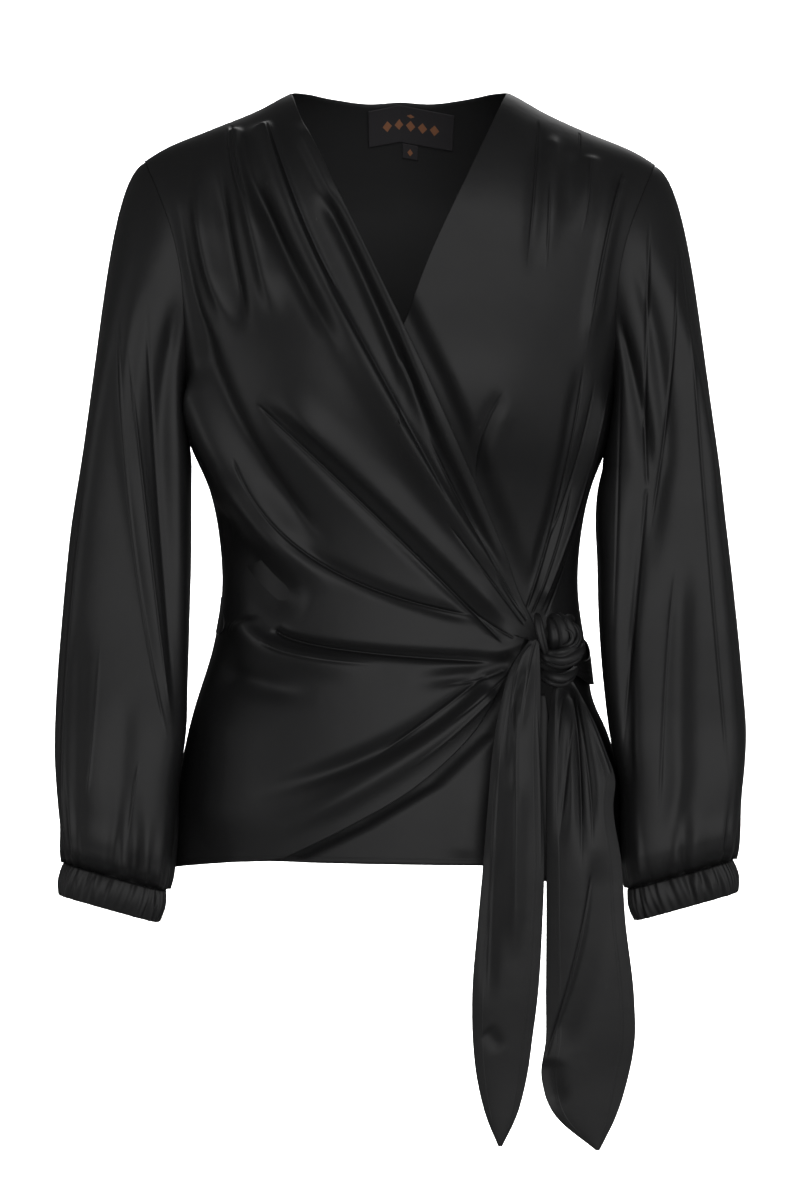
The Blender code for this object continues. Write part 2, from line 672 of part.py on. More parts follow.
def wall(name, outer, inner, around=False, colour=(0.012, 0.012, 0.013), roughness=0.38):
    """A closed thin wall between two grids of points."""
    rows, columns = outer.shape[:2]
    count = rows * columns
    index = np.arange(count).reshape(rows, columns)
    if around:
        index = np.concatenate([index, index[:, :1]], axis=1)
    a, b, c, d = index[:-1, :-1], index[:-1, 1:], index[1:, 1:], index[1:, :-1]
    quads = np.stack([a, b, c, d], -1).reshape(-1, 4)
    edges = [np.stack([index[0, 1:], index[0, :-1]], -1), np.stack([index[-1, :-1], index[-1, 1:]], -1)]
    if not around:
        edges.append(np.stack([index[:-1, 0], index[1:, 0]], -1))
        edges.append(np.stack([index[1:, -1], index[:-1, -1]], -1))
    edges = np.concatenate(edges)
    rim = np.stack([edges[:, 0], edges[:, 1], edges[:, 1] + count, edges[:, 0] + count], -1)
    faces = np.concatenate([quads, quads[:, ::-1] + count, rim])
    points = np.concatenate([outer.reshape(-1, 3), inner.reshape(-1, 3)])
    finish(name, points, faces.tolist(), colour, roughness)


def finish(name, points, faces, colour, roughness):
    mesh = bpy.data.meshes.new(name)
    mesh.from_pydata(points.tolist(), [], faces)
    form = bmesh.new()
    form.from_mesh(mesh)
    bmesh.ops.recalc_face_normals(form, faces=form.faces)
    form.to_mesh(mesh)
    form.free()
    mesh.shade_smooth()
    made = bpy.data.objects.new(name, mesh)
    bpy.context.scene.collection.objects.link(made)
    mesh.materials.append(material(name + "_cloth", colour, roughness))
    return made


def shares(*spans):
    """Places from 0 up: each span is (end, number of steps)."""
    places = [0.0]
    for end, steps in spans:
        places += list(np.linspace(places[-1], end, steps + 1)[1:])
    return np.array(places)


def body_panel(name, outer, side):
    """A panel of the body, whose inner face stays on its own side of the seams."""
    inner = inside(outer, (0, side, 0), CLOTH)
    inner[..., 1] = side * np.maximum(side * inner[..., 1], SEAM_GAP / 2)
    wall(name, outer, inner)


def tube(name, outer, turn, hand, thickness):
    angle = np.radians(turn)
    outward = np.stack([hand * np.cos(angle), -np.sin(angle), 0 * angle], -1)
    wall(name, outer, inside(outer, outward, thickness, True), True)


def cord(name, rings):
    """A round solid cord with flat ends."""
    rows, columns = rings.shape[:2]
    index = np.arange(rows * columns).reshape(rows, columns)
    index = np.concatenate([index, index[:, :1]], axis=1)
    quads = np.stack([index[:-1, :-1], index[:-1, 1:], index[1:, 1:], index[1:, :-1]], -1).reshape(-1, 4)
    faces = quads.tolist() + [index[0, :-1].tolist(), index[-1, :-1].tolist()]
    finish(name, rings.reshape(-1, 3), faces, (0.012, 0.012, 0.013), 0.5)


for old in list(bpy.data.objects):
    bpy.data.objects.remove(old, do_unlink=True)

# The body: back, lapping front, under front.
u, v = np.meshgrid(np.linspace(-1, 1, 25), shares((0.16, 7), (0.46, 4), (0.72, 8), (1, 4)))
body_panel("back", back(u, v), 1)
u, v = np.meshgrid(np.linspace(0, 1, 27), shares((0.42, 12), (0.66, 7), (1, 9)))
body_panel("front_right", right_front(u, v), -1)
u, v = np.meshgrid(np.linspace(0, 1, 23), shares((0.50, 12), (1, 7)))
body_panel("front_left", left_front(u, v), -1)

# The sleeves and cuffs.
for hand, word, table, folds in (
    (-1, "right", SLEEVE_RIGHT, SLEEVE_FOLDS_RIGHT),
    (1, "left", SLEEVE_LEFT, SLEEVE_FOLDS_LEFT),
):
    turn, along = np.meshgrid(np.arange(40) * 9, shares((1, HEAD_ROWS), (1.8, 5), (2, 3)))
    tube("sleeve_" + word, sleeve(hand, table, folds, turn, along), turn, hand, CLOTH)
    turn, down = np.meshgrid(np.arange(52) * 360 / 52, np.linspace(0, 1, 4))
    tube("cuff_" + word, cuff(hand, table, turn, down), turn, hand, CLOTH)

# The ties: the part round the waist, two hanging ends, the three passes of the knot.
round_waist = np.concatenate([np.linspace(59, 90, 6), np.linspace(97.5, 262.5, 23), [267]])
share, around = np.meshgrid(np.linspace(0, 1, 5), round_waist)
outer = waist_tie(around, share)
out = outer * (1, 1, 0)
wall("tie_waist", outer, inside(outer, out, TIE_CLOTH))
down = np.linspace(0, 1, 17)
columns = np.linspace(0, 1, 10)
across, level = np.meshgrid(columns, TAIL_FRONT[0, 0] + (TAIL_FRONT[-1, 0] - TAIL_FRONT[0, 0]) * down)
outer = tail(TAIL_FRONT, TAIL_FRONT_FOLDS, across, level)
wall("tail_front", outer, outer + (0, TIE_CLOTH, 0))
columns = shares((0.16, 2), (0.76, 9), (1, 2))
across, level = np.meshgrid(columns, TAIL_SIDE[0, 0] + (TAIL_SIDE[-1, 0] - TAIL_SIDE[0, 0]) * down)
outer = tail(TAIL_SIDE, TAIL_SIDE_FOLDS, across, level)
wall("tail_side", outer, outer + (0, TIE_CLOTH, 0))
for name, table, waves, depth, twist, steps in (
    ("knot_roll", KNOT_ROLL, 2, 0.05, 60, 6),
    ("knot_bulb", KNOT_BULB, 5, 0.07, 120, 6),
    ("knot_wrap", KNOT_WRAP, 2, 0.05, 90, 10),
):
    turn, level = np.meshgrid(np.arange(14) * 360 / 14, np.linspace(table[0, 0], table[-1, 0], steps + 1))
    tube(name, bunch(table, waves, depth, twist, turn, level), turn, 1, TIE_CLOTH)

# Label, size tab and thread loop.
for name, sizes, columns, rows in (("neck_label", LABEL, 7, 4), ("size_tab", SIZE_TAB, 3, 3)):
    u, v = np.meshgrid(np.linspace(-0.5, 0.5, columns), np.linspace(0, 1, rows))
    outer = tab(sizes, u, v, LABEL_SEAT)
    wall(name, outer, tab(sizes, u, v, LABEL_SEAT + LABEL_CLOTH), False, (0.03, 0.022, 0.016), 0.7)
turn, way = np.meshgrid(np.arange(6) * 60, np.linspace(0, 1, 9))
outer, line = side_loop(turn, way)
cord("side_loop", outer)
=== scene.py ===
# %% [markdown]
# # A satin wrap blouse with a side tie
# The blouse stands filled out as it is worn, with nobody in it. The finished look is built over the
# packed part: every cut piece is made again as a thin cloth with its folds, and the CAD piece under it
# is left out of sight.

import math

import bmesh
import bpy
import numpy as np
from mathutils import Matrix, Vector


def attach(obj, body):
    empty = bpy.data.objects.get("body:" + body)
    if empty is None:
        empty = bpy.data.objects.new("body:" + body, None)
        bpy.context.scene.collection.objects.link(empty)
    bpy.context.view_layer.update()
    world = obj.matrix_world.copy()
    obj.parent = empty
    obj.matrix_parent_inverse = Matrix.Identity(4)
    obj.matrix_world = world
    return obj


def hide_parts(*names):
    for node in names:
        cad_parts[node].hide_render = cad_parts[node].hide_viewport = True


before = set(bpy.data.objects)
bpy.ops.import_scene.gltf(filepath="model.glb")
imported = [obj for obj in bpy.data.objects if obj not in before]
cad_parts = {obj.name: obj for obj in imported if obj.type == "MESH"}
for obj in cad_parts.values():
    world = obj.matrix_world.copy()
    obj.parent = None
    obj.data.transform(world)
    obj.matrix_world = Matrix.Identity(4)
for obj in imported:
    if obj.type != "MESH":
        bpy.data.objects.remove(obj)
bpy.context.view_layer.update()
MM = 0.001
print("CAD nodes:", len(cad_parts))

# %% [markdown]
# ## The form that the cloth follows
# A wrap blouse is cut from a back and two fronts that close at the sides. Worn, it follows a general
# figure: a shoulder that slopes, a bust, a waist and a hip. Sections at named levels give that form, and
# a smooth curve through them fills in the rest, as a dress form is padded out between its ribs. A place
# on the cloth is given by how far it is down the cloth from the shoulder and how far round from the
# middle, which is how a pattern is drawn, so a seam stays where it was cut when the form changes.

# %% Sections of the body
SEAM_GAP = 0.3 * MM
CAD_CLOTH = 1.4 * MM
LAP = 7.0 * MM
SEAM_LAP = CAD_CLOTH + 1.0 * MM
SHOULDER_TOP = 19 * MM
SHOULDER_ROUND = 100 * MM
SQUARENESS = 0.86
BUST_AT = (72 * MM, -215 * MM)
BUST_RISE = 10 * MM
BUST_SPREAD = 45 * MM
LEFT_SHOULDER_DROP = 2.8 * MM
LEFT_DROP_FROM = 90 * MM
LEFT_DROP_OVER = 60 * MM
SLOPE_REACH = 200 * MM
ROUNDS_TO_SETTLE = 40
LEFT_HIP_AT = -455 * MM
LEFT_HIP_TAKEN = 8 * MM
LEFT_HIP_REACH = 32 * MM
UNDERARM = 318 * MM
HEM_DROP = 659 * MM

# Torso sections, mm: level, half width, depth of the front, depth of the back.
TORSO = np.array([
    (-640, 183, 108, 108),
    (-583, 181, 108, 108),
    (-520, 173.5, 106, 104),
    (-460, 160.5, 100, 92),
    (-410, 145.5, 93, 78),
    (-370, 139, 90, 70),
    (-330, 140.5, 93, 70),
    (-290, 148, 101, 77),
    (-250, 163, 110, 84),
    (-200, 171, 115, 89),
    (-140, 186, 108, 92),
    (-80, 200, 98, 90),
    (-30, 214, 88, 84),
    (30, 228, 78, 78),
]) * MM

# Shoulder seam, mm: distance from the middle, height against the neck point.
RIDGE = np.array([
    (0, 18.5),
    (50, 8.5),
    (83, 2.6),
    (110, -11.2),
    (150, -27.5),
    (185, -42.5),
    (215, -62),
]) * MM

# Armhole: way down the cloth in mm, quarter turns from the middle.
ARMHOLE = np.array([
    (0, 0.690),
    (50, 0.676),
    (90, 0.662),
    (125, 0.657),
    (160, 0.667),
    (200, 0.690),
    (238, 0.748),
    (266, 0.815),
    (290, 0.892),
    (306, 0.955),
    (318, 1.0),
]) * (MM, 1)

# Back neck: distance from the middle, way down the cloth, mm.
BACK_NECK = np.array([(0, 62), (30, 55), (50, 43), (70, 26), (80, 12), (84.5, 0)]) * MM

# %% Reading the tables
def curve(table, at):
    """The columns of a table after its first, read smoothly at places of the first."""
    knots, values = table[:, 0], table[:, 1:]
    slopes = np.gradient(values, knots, axis=0)
    at = np.clip(np.asarray(at, float), knots[0], knots[-1])
    low = np.clip(np.searchsorted(knots, at) - 1, 0, len(knots) - 2)
    span = (knots[low + 1] - knots[low])[..., None]
    part = (at[..., None] - knots[low][..., None]) / span
    start = (1 + 2 * part) * (1 - part) ** 2 * values[low] + part * (1 - part) ** 2 * span * slopes[low]
    end = part**2 * (3 - 2 * part) * values[low + 1] - part**2 * (1 - part) * span * slopes[low + 1]
    return start + end


def smooth(share):
    share = np.clip(share, 0, 1)
    return share * share * (3 - 2 * share)


def unit(vectors):
    return vectors / np.linalg.norm(vectors, axis=-1, keepdims=True)


# %% The form as a surface
def ridge(x):
    """Height of the shoulder seam at a distance from the middle."""
    lower = LEFT_SHOULDER_DROP * smooth((x - LEFT_DROP_FROM) / LEFT_DROP_OVER)
    return curve(RIDGE, np.abs(x))[..., 0] - lower


def lean(level):
    """How much of the shoulder's slope a level still has."""
    return smooth((level + SLOPE_REACH) / (SHOULDER_TOP + SLOPE_REACH))


def torso(side, across, drop):
    """The body: side -1 front, 1 back; across in quarter turns; drop down the cloth."""
    turn = np.minimum(drop / SHOULDER_ROUND, np.pi / 2)
    level = SHOULDER_TOP - SHOULDER_ROUND * (1 - np.cos(turn)) - (drop - SHOULDER_ROUND * turn)
    width, front, back = np.moveaxis(curve(TORSO, level), -1, 0)
    depth = front if side < 0 else back
    angle = np.clip(across, -1, 1) * np.pi / 2
    taken = LEFT_HIP_TAKEN * np.exp(-(((level - LEFT_HIP_AT) / LEFT_HIP_REACH) ** 2))
    x = width * np.sin(angle) - taken * np.maximum(np.sin(angle), 0) ** 4
    y = side * (depth * np.cos(angle) ** SQUARENESS * np.sin(turn) + SEAM_GAP / 2)
    z = level + ridge(x) * lean(level)
    if side < 0:
        off = (np.abs(x) - BUST_AT[0]) ** 2 + (z - BUST_AT[1]) ** 2
        y = y - BUST_RISE * np.exp(-off / (2 * BUST_SPREAD**2))
    return np.stack([x, y, z], axis=-1)


def torso_normal(side, across, drop):
    """The way out of the cloth, read just inside the seams, where the form has no edge."""
    step = 1e-4
    across = np.clip(across, -0.99, 0.99)
    drop = np.maximum(drop, 2 * MM)
    sideways = torso(side, across + step, drop) - torso(side, across - step, drop)
    down = torso(side, across, drop + step) - torso(side, across, drop - step)
    return unit(side * np.cross(sideways, down))


def on_front(x, z):
    """Across and drop of places given in the front view."""
    level = np.array(z, float)
    for _ in range(ROUNDS_TO_SETTLE):
        level = z - ridge(x) * lean(level)
    fall = SHOULDER_TOP - np.minimum(level, SHOULDER_TOP)
    width = curve(TORSO, SHOULDER_TOP - fall)[..., 0]
    rounded = SHOULDER_ROUND * np.arccos(np.clip(1 - fall / SHOULDER_ROUND, 0, 1))
    straight = SHOULDER_ROUND * np.pi / 2 + fall - SHOULDER_ROUND
    drop = np.where(fall < SHOULDER_ROUND, rounded, straight)
    return np.arcsin(np.clip(x / width, -1, 1)) / (np.pi / 2), drop


def armhole(drop):
    return np.where(drop < UNDERARM, curve(ARMHOLE, drop)[..., 0], 1.0)


print("hip width, mm:", round(2 * float(curve(TORSO, TORSO[1:2, 0])[0, 0]) / MM))

# %% [markdown]
# ## Folds
# Satin hangs in long soft folds that start where it is held: in the shoulder pleats, at the armholes and
# above all at the knot, where the whole lower front is drawn together. Each fold is one row: the way it
# runs in the front view, how far it rises, and how quickly it falls away on either side. A fold with one
# steep side catches a bright edge and throws the dark line beside it. A cloth simulation could make
# folds too, but folds given one by one lie where the real ones do, and come out the same in every run.

# %% Fold tables
# Columns, mm: start, middle and end (across, level each), rise, reach left and right of the way along,
# share of the length that fades in and out.
RIGHT_FOLDS = [
    (-82, -4, 3, -178, 90, -374, 7, 12, 6, 0.06, 0.1),
    (-60, -62, -14, -157, 38, -291, -8, 6, 6.5, 0.12, 0.3),
    (-104, -4, -42, -163, 90, -380, 10, 4.2, 13, 0.04, 0.1),
    (-120, -38, -84, -115, -44, -190, -8.5, 6.5, 7, 0.3, 0.3),
    (-126, -8, -120, -50, -98, -112, 6, 4, 7, 0.1, 0.5),
    (-124, -40, -108, -104, -94, -165, 7.5, 9, 7, 0.4, 0.35),
    (-143, -22, -134, -92, -117, -175, -8.5, 6, 7, 0.45, 0.25),
    (-157, -26, -150, -99, -129, -170, 7.5, 6, 6, 0.5, 0.35),
    (-172, -56, -164, -128, -140, -196, -5, 5, 7, 0.5, 0.3),
    (-160, -150, -121, -252, -49, -344, -8.5, 9, 10, 0.2, 0.25),
    (-168, -188, -122, -284, -44, -376, 11, 10, 17, 0.15, 0.3),
    (-152, -296, -113, -350, -68, -384, -9, 14, 15, 0.2, 0.3),
    (-110, -222, -34, -298, 84, -409, -3.6, 5, 4, 0.15, 0.05),
    (-100, -216, -20, -288, 86, -396, 6.5, 12, 5, 0.25, 0.1),
    (-128, -264, -66, -342, 66, -391, -3.6, 6, 4.5, 0.15, 0.1),
    (-117, -387, -88, -413, -6, -424, 9.5, 5, 14, 0.1, 0.4),
    (-97, -395, -46, -411, 92, -420, -5.5, 4, 4, 0.12, 0.12),
    (-142, -426, -110, -438, -60, -448, -6, 10, 10, 0.25, 0.4),
    (90, -421, 52, -430, 4, -437, -5, 7, 6, 0.12, 0.4),
    (66, -431, -6, -485, -125, -526, -6.5, 7, 8, 0.08, 0.35),
    (72, -440, 0, -499, -114, -560, 5.5, 9, 10, 0.08, 0.3),
    (-134, -440, -138, -500, -142, -570, 8, 30, 20, 0.35, 0.25),
]
LEFT_FOLDS = [
    (172, -46, 155, -110, 138, -200, 4.5, 9, 5, 0.12, 0.3),
    (107, -6, 103, -80, 99, -130, -3.2, 5, 6, 0.15, 0.5),
    (118, -14, 117, -70, 113, -122, 3, 5, 6, 0.1, 0.5),
    (132, -24, 130, -62, 126, -104, -2.6, 6, 6, 0.2, 0.5),
    (148, -30, 145, -55, 139, -96, 3, 6, 6, 0.15, 0.5),
    (140, -185, 124, -285, 97, -380, -4.6, 5, 6, 0.25, 0.05),
    (152, -205, 134, -278, 110, -345, -3, 4, 5, 0.3, 0.3),
    (158, -204, 140, -290, 106, -380, 4.4, 5, 6, 0.2, 0.08),
    (80, -216, 62, -249, 56, -287, -3.2, 7, 6, 0.2, 0.25),
    (88, -214, 72, -250, 66, -290, 2.4, 8, 9, 0.3, 0.4),
    (150, -440, 156, -505, 160, -560, 3, 10, 10, 0.3, 0.3),
    (112, -450, 108, -510, 104, -570, -3, 12, 12, 0.3, 0.2),
    (60, -500, 52, -540, 48, -575, 2, 12, 12, 0.4, 0.2),
]
BACK_FOLDS = [
    (-128, -352, -118, -300, -96, -236, 3.4, 10, 12, 0.2, 0.5),
    (-70, -356, -66, -306, -54, -250, -3, 11, 11, 0.2, 0.5),
    (-24, -354, -20, -310, -8, -262, 2.6, 10, 10, 0.2, 0.5),
    (34, -354, 36, -300, 30, -240, -2.8, 11, 11, 0.2, 0.5),
    (82, -352, 88, -296, 84, -226, 3.2, 11, 10, 0.2, 0.5),
    (-112, -428, -122, -500, -134, -575, -3.6, 12, 12, 0.2, 0.3),
    (-72, -430, -80, -505, -88, -575, 4, 12, 13, 0.2, 0.3),
    (-20, -430, -24, -500, -30, -570, -3, 13, 12, 0.2, 0.3),
    (30, -430, 34, -500, 36, -575, 3.6, 12, 13, 0.2, 0.3),
    (80, -430, 90, -500, 98, -570, -3.2, 12, 12, 0.2, 0.3),
    (122, -430, 134, -500, 146, -570, 3.4, 11, 11, 0.2, 0.3),
    (-120, -60, -108, -110, -84, -170, -2, 12, 12, 0.3, 0.6),
    (118, -60, 110, -120, 92, -180, -2, 12, 12, 0.3, 0.6),
]

# %% Crease tables
# Fine creases of the fronts. Columns, mm: start, middle and end as above, height, width, share of the
# length that fades in and out. Thin bright lines stand up, and sharp dark ones have a height below nought.
RIGHT_CREASES = [
    (-104.5, -4.6, -76.2, -86.2, -47.3, -144.9, 0.55, 1.3, 0.03, 0.2),
    (-101.8, -4.6, -73.4, -85.6, -44.2, -144.3, -0.5, 1.0, 0.03, 0.2),
    (-47.1, -145.8, -7.6, -217.9, 53.2, -328.8, -0.5, 1.0, 0.2, 0.3),
    (-130.3, -6.6, -126.4, -38.7, -117.3, -67.9, -0.7, 1.0, 0.04, 0.15),
    (-133, -7, -129, -40, -121, -66, 0.45, 1.2, 0.05, 0.3),
    (-110.1, -224, -7.6, -321.2, 79, -407.8, -0.9, 1.2, 0.04, 0.04),
    (-108, -227, -6, -324, 80, -409, 0.35, 1.4, 0.15, 0.1),
    (-127.9, -265.5, -64.7, -343.9, 60.9, -387.3, -0.8, 1.1, 0.05, 0.1),
    (-95, -396.5, -51, -411.5, 70, -422, -0.9, 1.3, 0.1, 0.06),
    (-108, -404, -76, -417, -8, -424, 0.5, 1.6, 0.2, 0.3),
    (36.4, -316, 64.5, -353.2, 95.6, -394.1, -0.6, 0.9, 0.2, 0.05),
    (19, -245.4, 53.1, -313.7, 97.9, -391.1, -0.5, 0.9, 0.25, 0.05),
    (72, -352, 84, -372, 97, -390, -0.5, 0.8, 0.3, 0.05),
    (40, -368, 62, -388, 88, -404, -0.45, 1.0, 0.4, 0.05),
    (68, -430, 11, -473, -23, -496, -0.5, 1.3, 0.05, 0.5),
    (80, -428, 58, -436, 28, -440, -0.4, 1.1, 0.05, 0.5),
    (84, -436, 40, -478, 4, -504, 0.3, 1.2, 0.1, 0.5),
    (86, -428, 60, -452, 36, -470, -0.35, 1.0, 0.05, 0.5),
]
LEFT_CREASES = [
    (106.8, -3.3, 102.2, -67.1, 96, -128.5, -0.45, 1.0, 0.05, 0.4),
    (115, -51, 113.4, -90.9, 111.1, -125.3, 0.35, 0.9, 0.2, 0.4),
    (146.7, -33.3, 144.4, -67.1, 138.3, -97.8, 0.35, 1.0, 0.1, 0.4),
    (139, -11.5, 139, -20.7, 137.5, -31.5, -0.4, 0.9, 0.1, 0.4),
    (172.9, -43.3, 158.3, -97.8, 141.4, -190, 0.5, 1.0, 0.05, 0.3),
    (141.1, -191.4, 123.5, -290.5, 96.3, -384, -0.7, 1.0, 0.15, 0.04),
    (150.2, -202.8, 133.4, -275.3, 110.6, -334.8, -0.5, 0.9, 0.2, 0.2),
    (162.1, -206.2, 141.4, -294.1, 107, -385, 0.5, 1.1, 0.1, 0.05),
    (79.6, -215.1, 62.2, -249.2, 56.9, -287.2, -0.4, 1.1, 0.2, 0.2),
    (133, -285, 120, -336, 101, -386, -0.6, 0.9, 0.2, 0.04),
    (152, -250, 136, -318, 111, -388, -0.5, 0.9, 0.3, 0.04),
]

# %% Height of the folds
SHARE = np.linspace(0, 1, 61)
FOLD_TOP = 3 * MM
LEAST_FADE = 0.02


def beside(places, x, z):
    """Places beside a line through three places of the front view: aside, beyond its end, share along."""
    x0, z0, x1, z1, x2, z2 = places
    weights = np.stack([(1 - SHARE) * (1 - 2 * SHARE), 4 * SHARE * (1 - SHARE), SHARE * (2 * SHARE - 1)])
    line = (np.array([(x0, x1, x2), (z0, z1, z2)]) @ weights) * MM
    along = np.gradient(line, axis=1)
    off_x = x[..., None] - line[0]
    off_z = z[..., None] - line[1]
    nearest = np.argmin(off_x**2 + off_z**2, axis=-1)
    dx = np.take_along_axis(off_x, nearest[..., None], -1)[..., 0]
    dz = np.take_along_axis(off_z, nearest[..., None], -1)[..., 0]
    length = np.hypot(along[0], along[1])[nearest]
    aside = (along[0][nearest] * dz - along[1][nearest] * dx) / length
    beyond = (along[0][nearest] * dx + along[1][nearest] * dz) / length
    share = np.clip(SHARE[nearest] + beyond / length * SHARE[1], 0, 1)
    beyond = np.where((nearest == 0) | (nearest == len(SHARE) - 1), beyond, 0)
    return aside, beyond, share


def fade(place, fade_in, fade_out):
    return smooth(place / max(fade_in, LEAST_FADE)) * smooth((1 - place) / max(fade_out, LEAST_FADE))


def relief(folds, x, z):
    """Height of the folds of a table at places of the front view."""
    height = np.zeros(np.shape(x))
    for *places, rise, left, right, fade_in, fade_out in folds:
        aside, beyond, place = beside(places, x, z)
        side_share = smooth(aside / FOLD_TOP / 2 + 0.5)
        reach = (right + (left - right) * side_share) * MM
        height += rise * MM * fade(place, fade_in, fade_out) * np.exp(-(aside**2 + beyond**2) / reach**2)
    return height


print("folds:", len(RIGHT_FOLDS), "right,", len(LEFT_FOLDS), "left,", len(BACK_FOLDS), "back")

# %% [markdown]
# ## Making a cloth
# Each cut piece starts as a flat net of squares, like the cloth on the cutting table. Its points are then
# moved onto the form, it is given a thickness, and its own map of the cut (in metres) is kept, so that
# the grain of the satin runs true along every piece. The finest creases are narrower than a square, so
# each point also keeps how far it is from every crease, and the finish draws them from that.

# %% What every point keeps
IN_A_SET = 3
CREASE_DEPTH = 1.9
CREASE_REACH = 30 * MM
NO_CREASE_NEAR = 9.0


def keep_creases(net, creases, x, z, shown):
    """Keeps on every point its distance from each crease, in crease widths, and the crease's height."""
    for first in range(0, len(creases), IN_A_SET):
        number = first // IN_A_SET
        near = net.verts.layers.float_vector.new(f"near_{number}")
        tall = net.verts.layers.float_vector.new(f"tall_{number}")
        nears = np.full((len(x), IN_A_SET), NO_CREASE_NEAR)
        talls = np.zeros((len(x), IN_A_SET))
        for place_in_set, row in enumerate(creases[first:first + IN_A_SET]):
            *places, rise, width, fade_in, fade_out = row
            aside, beyond, place = beside(places, x, z)
            height = rise * CREASE_DEPTH * MM * fade(place, fade_in, fade_out)
            nears[:, place_in_set] = aside / (width * MM)
            talls[:, place_in_set] = height * shown * (np.abs(aside) < CREASE_REACH)
        for vert, one_near, one_tall in zip(net.verts, nears, talls):
            vert[near] = one_near
            vert[tall] = one_tall


def keep_hem(net, hem):
    """Keeps on every point its distance from a turned edge and its place along it, in metres."""
    layer = net.verts.layers.float_vector.new("hem")
    for vert, from_edge, along in zip(net.verts, *hem):
        vert[layer] = (from_edge, along, 1)


# %% Cloth maker
SATIN_THICKNESS = 0.8 * MM
SAME_POINT = 0.02 * MM
sizes = {}


def facing_front(point):
    return Vector((0, -1, 0))


def size_of(points, u, v, columns, rows):
    """Widest and longest way over a net, and its area, in metres."""
    grid = points[np.lexsort((np.round(u, 6), np.round(v, 6)))].reshape(rows + 1, columns + 1, 3)
    across, down = np.diff(grid, axis=1), np.diff(grid, axis=0)
    area = np.linalg.norm(np.cross(across[:-1], down[:, :-1]), axis=-1).sum()
    widths = np.linalg.norm(across, axis=-1).sum(axis=1)
    lengths = np.linalg.norm(down, axis=-1).sum(axis=0)
    return widths.max(), lengths.max(), area


def face_out(mesh, outward):
    """Turns a net's faces so that they look along outward(point)."""
    score = sum(face.normal.dot(outward(face.center)) for face in mesh.polygons)
    if score < 0:
        mesh.flip_normals()


def cloth(name, columns, rows, place, flat, outward=facing_front, around=False,
          thickness=SATIN_THICKNESS, creases=(), shown=None, hem=None):
    """A net of columns by rows squares, moved by place(u, v) and thickened inwards."""
    net = bmesh.new()
    bmesh.ops.create_grid(net, x_segments=columns, y_segments=rows, size=0.5)
    net.verts.ensure_lookup_table()
    flat_points = np.array([vert.co[:2] for vert in net.verts]) + 0.5
    u, v = flat_points[:, 0], 1 - flat_points[:, 1]
    points = place(u, v)
    sizes[name] = size_of(points, u, v, columns, rows)
    for vert, point in zip(net.verts, points):
        vert.co = point
    keep_creases(net, creases, points[:, 0], points[:, 2], 1 if shown is None else shown(u, v))
    if hem:
        keep_hem(net, hem(u, v))
    cut = net.loops.layers.uv.new("cut")
    share = {vert.index: (a, b) for vert, a, b in zip(net.verts, u, v)}
    for face in net.faces:
        places = [share[loop.vert.index] for loop in face.loops]
        for loop, (a, b) in zip(face.loops, places):
            loop[cut].uv = (a * flat[0], b * flat[1])
    if around:
        bmesh.ops.remove_doubles(net, verts=net.verts, dist=SAME_POINT)
    mesh = bpy.data.meshes.new(name)
    net.to_mesh(mesh)
    net.free()
    face_out(mesh, outward)
    made = bpy.data.objects.new(name, mesh)
    bpy.context.scene.collection.objects.link(made)
    mesh.shade_smooth()
    made.modifiers.new("thickness", "SOLIDIFY").thickness = thickness
    made.modifiers["thickness"].offset = -1
    return made


# %% [markdown]
# ## Fronts and back
# The right front laps over the left and is drawn into the knot, so its lower half fans out from there.
# The left front lies under it, right across to the other side seam. The back closes them at the sides.
# Each one is stretched between its own side seam and its free edge, row by row, so that the edge can be
# drawn as it runs in the picture while the cloth between stays on the form.

# %% Edges of the fronts
# Free edges of the fronts: share of the rows, then across and level in mm, front view.
LAP_EDGE = np.array([
    (0.00, -85, 21.6),
    (0.03, -77, -1),
    (0.09, -61, -34),
    (0.15, -34, -89),
    (0.21, -8, -144),
    (0.27, 23, -208),
    (0.32, 51, -272),
    (0.37, 76, -332),
    (0.42, 98, -389),
    (0.54, 93, -406),
    (0.66, 86, -424),
    (0.71, 76, -443),
    (0.77, 56, -476),
    (0.84, 14, -515),
    (0.92, -40, -547),
    (1.00, -91, -572),
])
# Side seams of the fronts: share of the rows, then way down the cloth in mm.
LAP_SIDE = np.array([
    (0, 0),
    (0.12, 80),
    (0.27, 210),
    (0.42, 326),
    (0.54, 401),
    (0.66, 476),
    (0.84, 571),
    (1, 660),
])
UNDER_EDGE = np.array([
    (0.00, 84, 21.7),
    (0.04, 71, -7),
    (0.10, 51, -50),
    (0.17, 24, -108),
    (0.24, 1, -166),
    (0.32, -33, -230),
    (0.40, -72, -305),
    (0.50, -134, -365),
])
UNDER_SIDE = np.array([(0, 0), (0.12, 90), (0.28, 230), (0.40, 318), (0.50, 406), (1, 656)])
UNDER_SEAM = np.array([(0.50, 441), (0.75, 546), (1, 647)])

# %% The lapping front
KNOT_AT = (104 * MM, -404 * MM)
KNOT_LIFT = 8 * MM
KNOT_REACH = 30 * MM
FAN_WAVES = 11
FAN_HEIGHT = 0.2 * MM
FAN_NEAR = 30 * MM
FAN_FAR = 110 * MM
# Folds grow from the side over this share of the width, and from the shoulder over this way down.
SIDE_CALM = 0.10
SHOULDER_CALM = 14 * MM


def fan(x, z):
    """Fine creases that spread from the knot."""
    dx, dz = x - KNOT_AT[0], z - KNOT_AT[1]
    away = np.hypot(dx, dz)
    angle = np.arctan2(dz, -dx)
    ripple = np.sin(FAN_WAVES * angle + 1.3 * np.sin(3 * angle))
    ripple = ripple + 0.5 * np.sin(1.7 * FAN_WAVES * angle + 2)
    reach = smooth(away / FAN_NEAR) * smooth((FAN_FAR - away) / (FAN_FAR - FAN_NEAR))
    return FAN_HEIGHT * ripple * reach


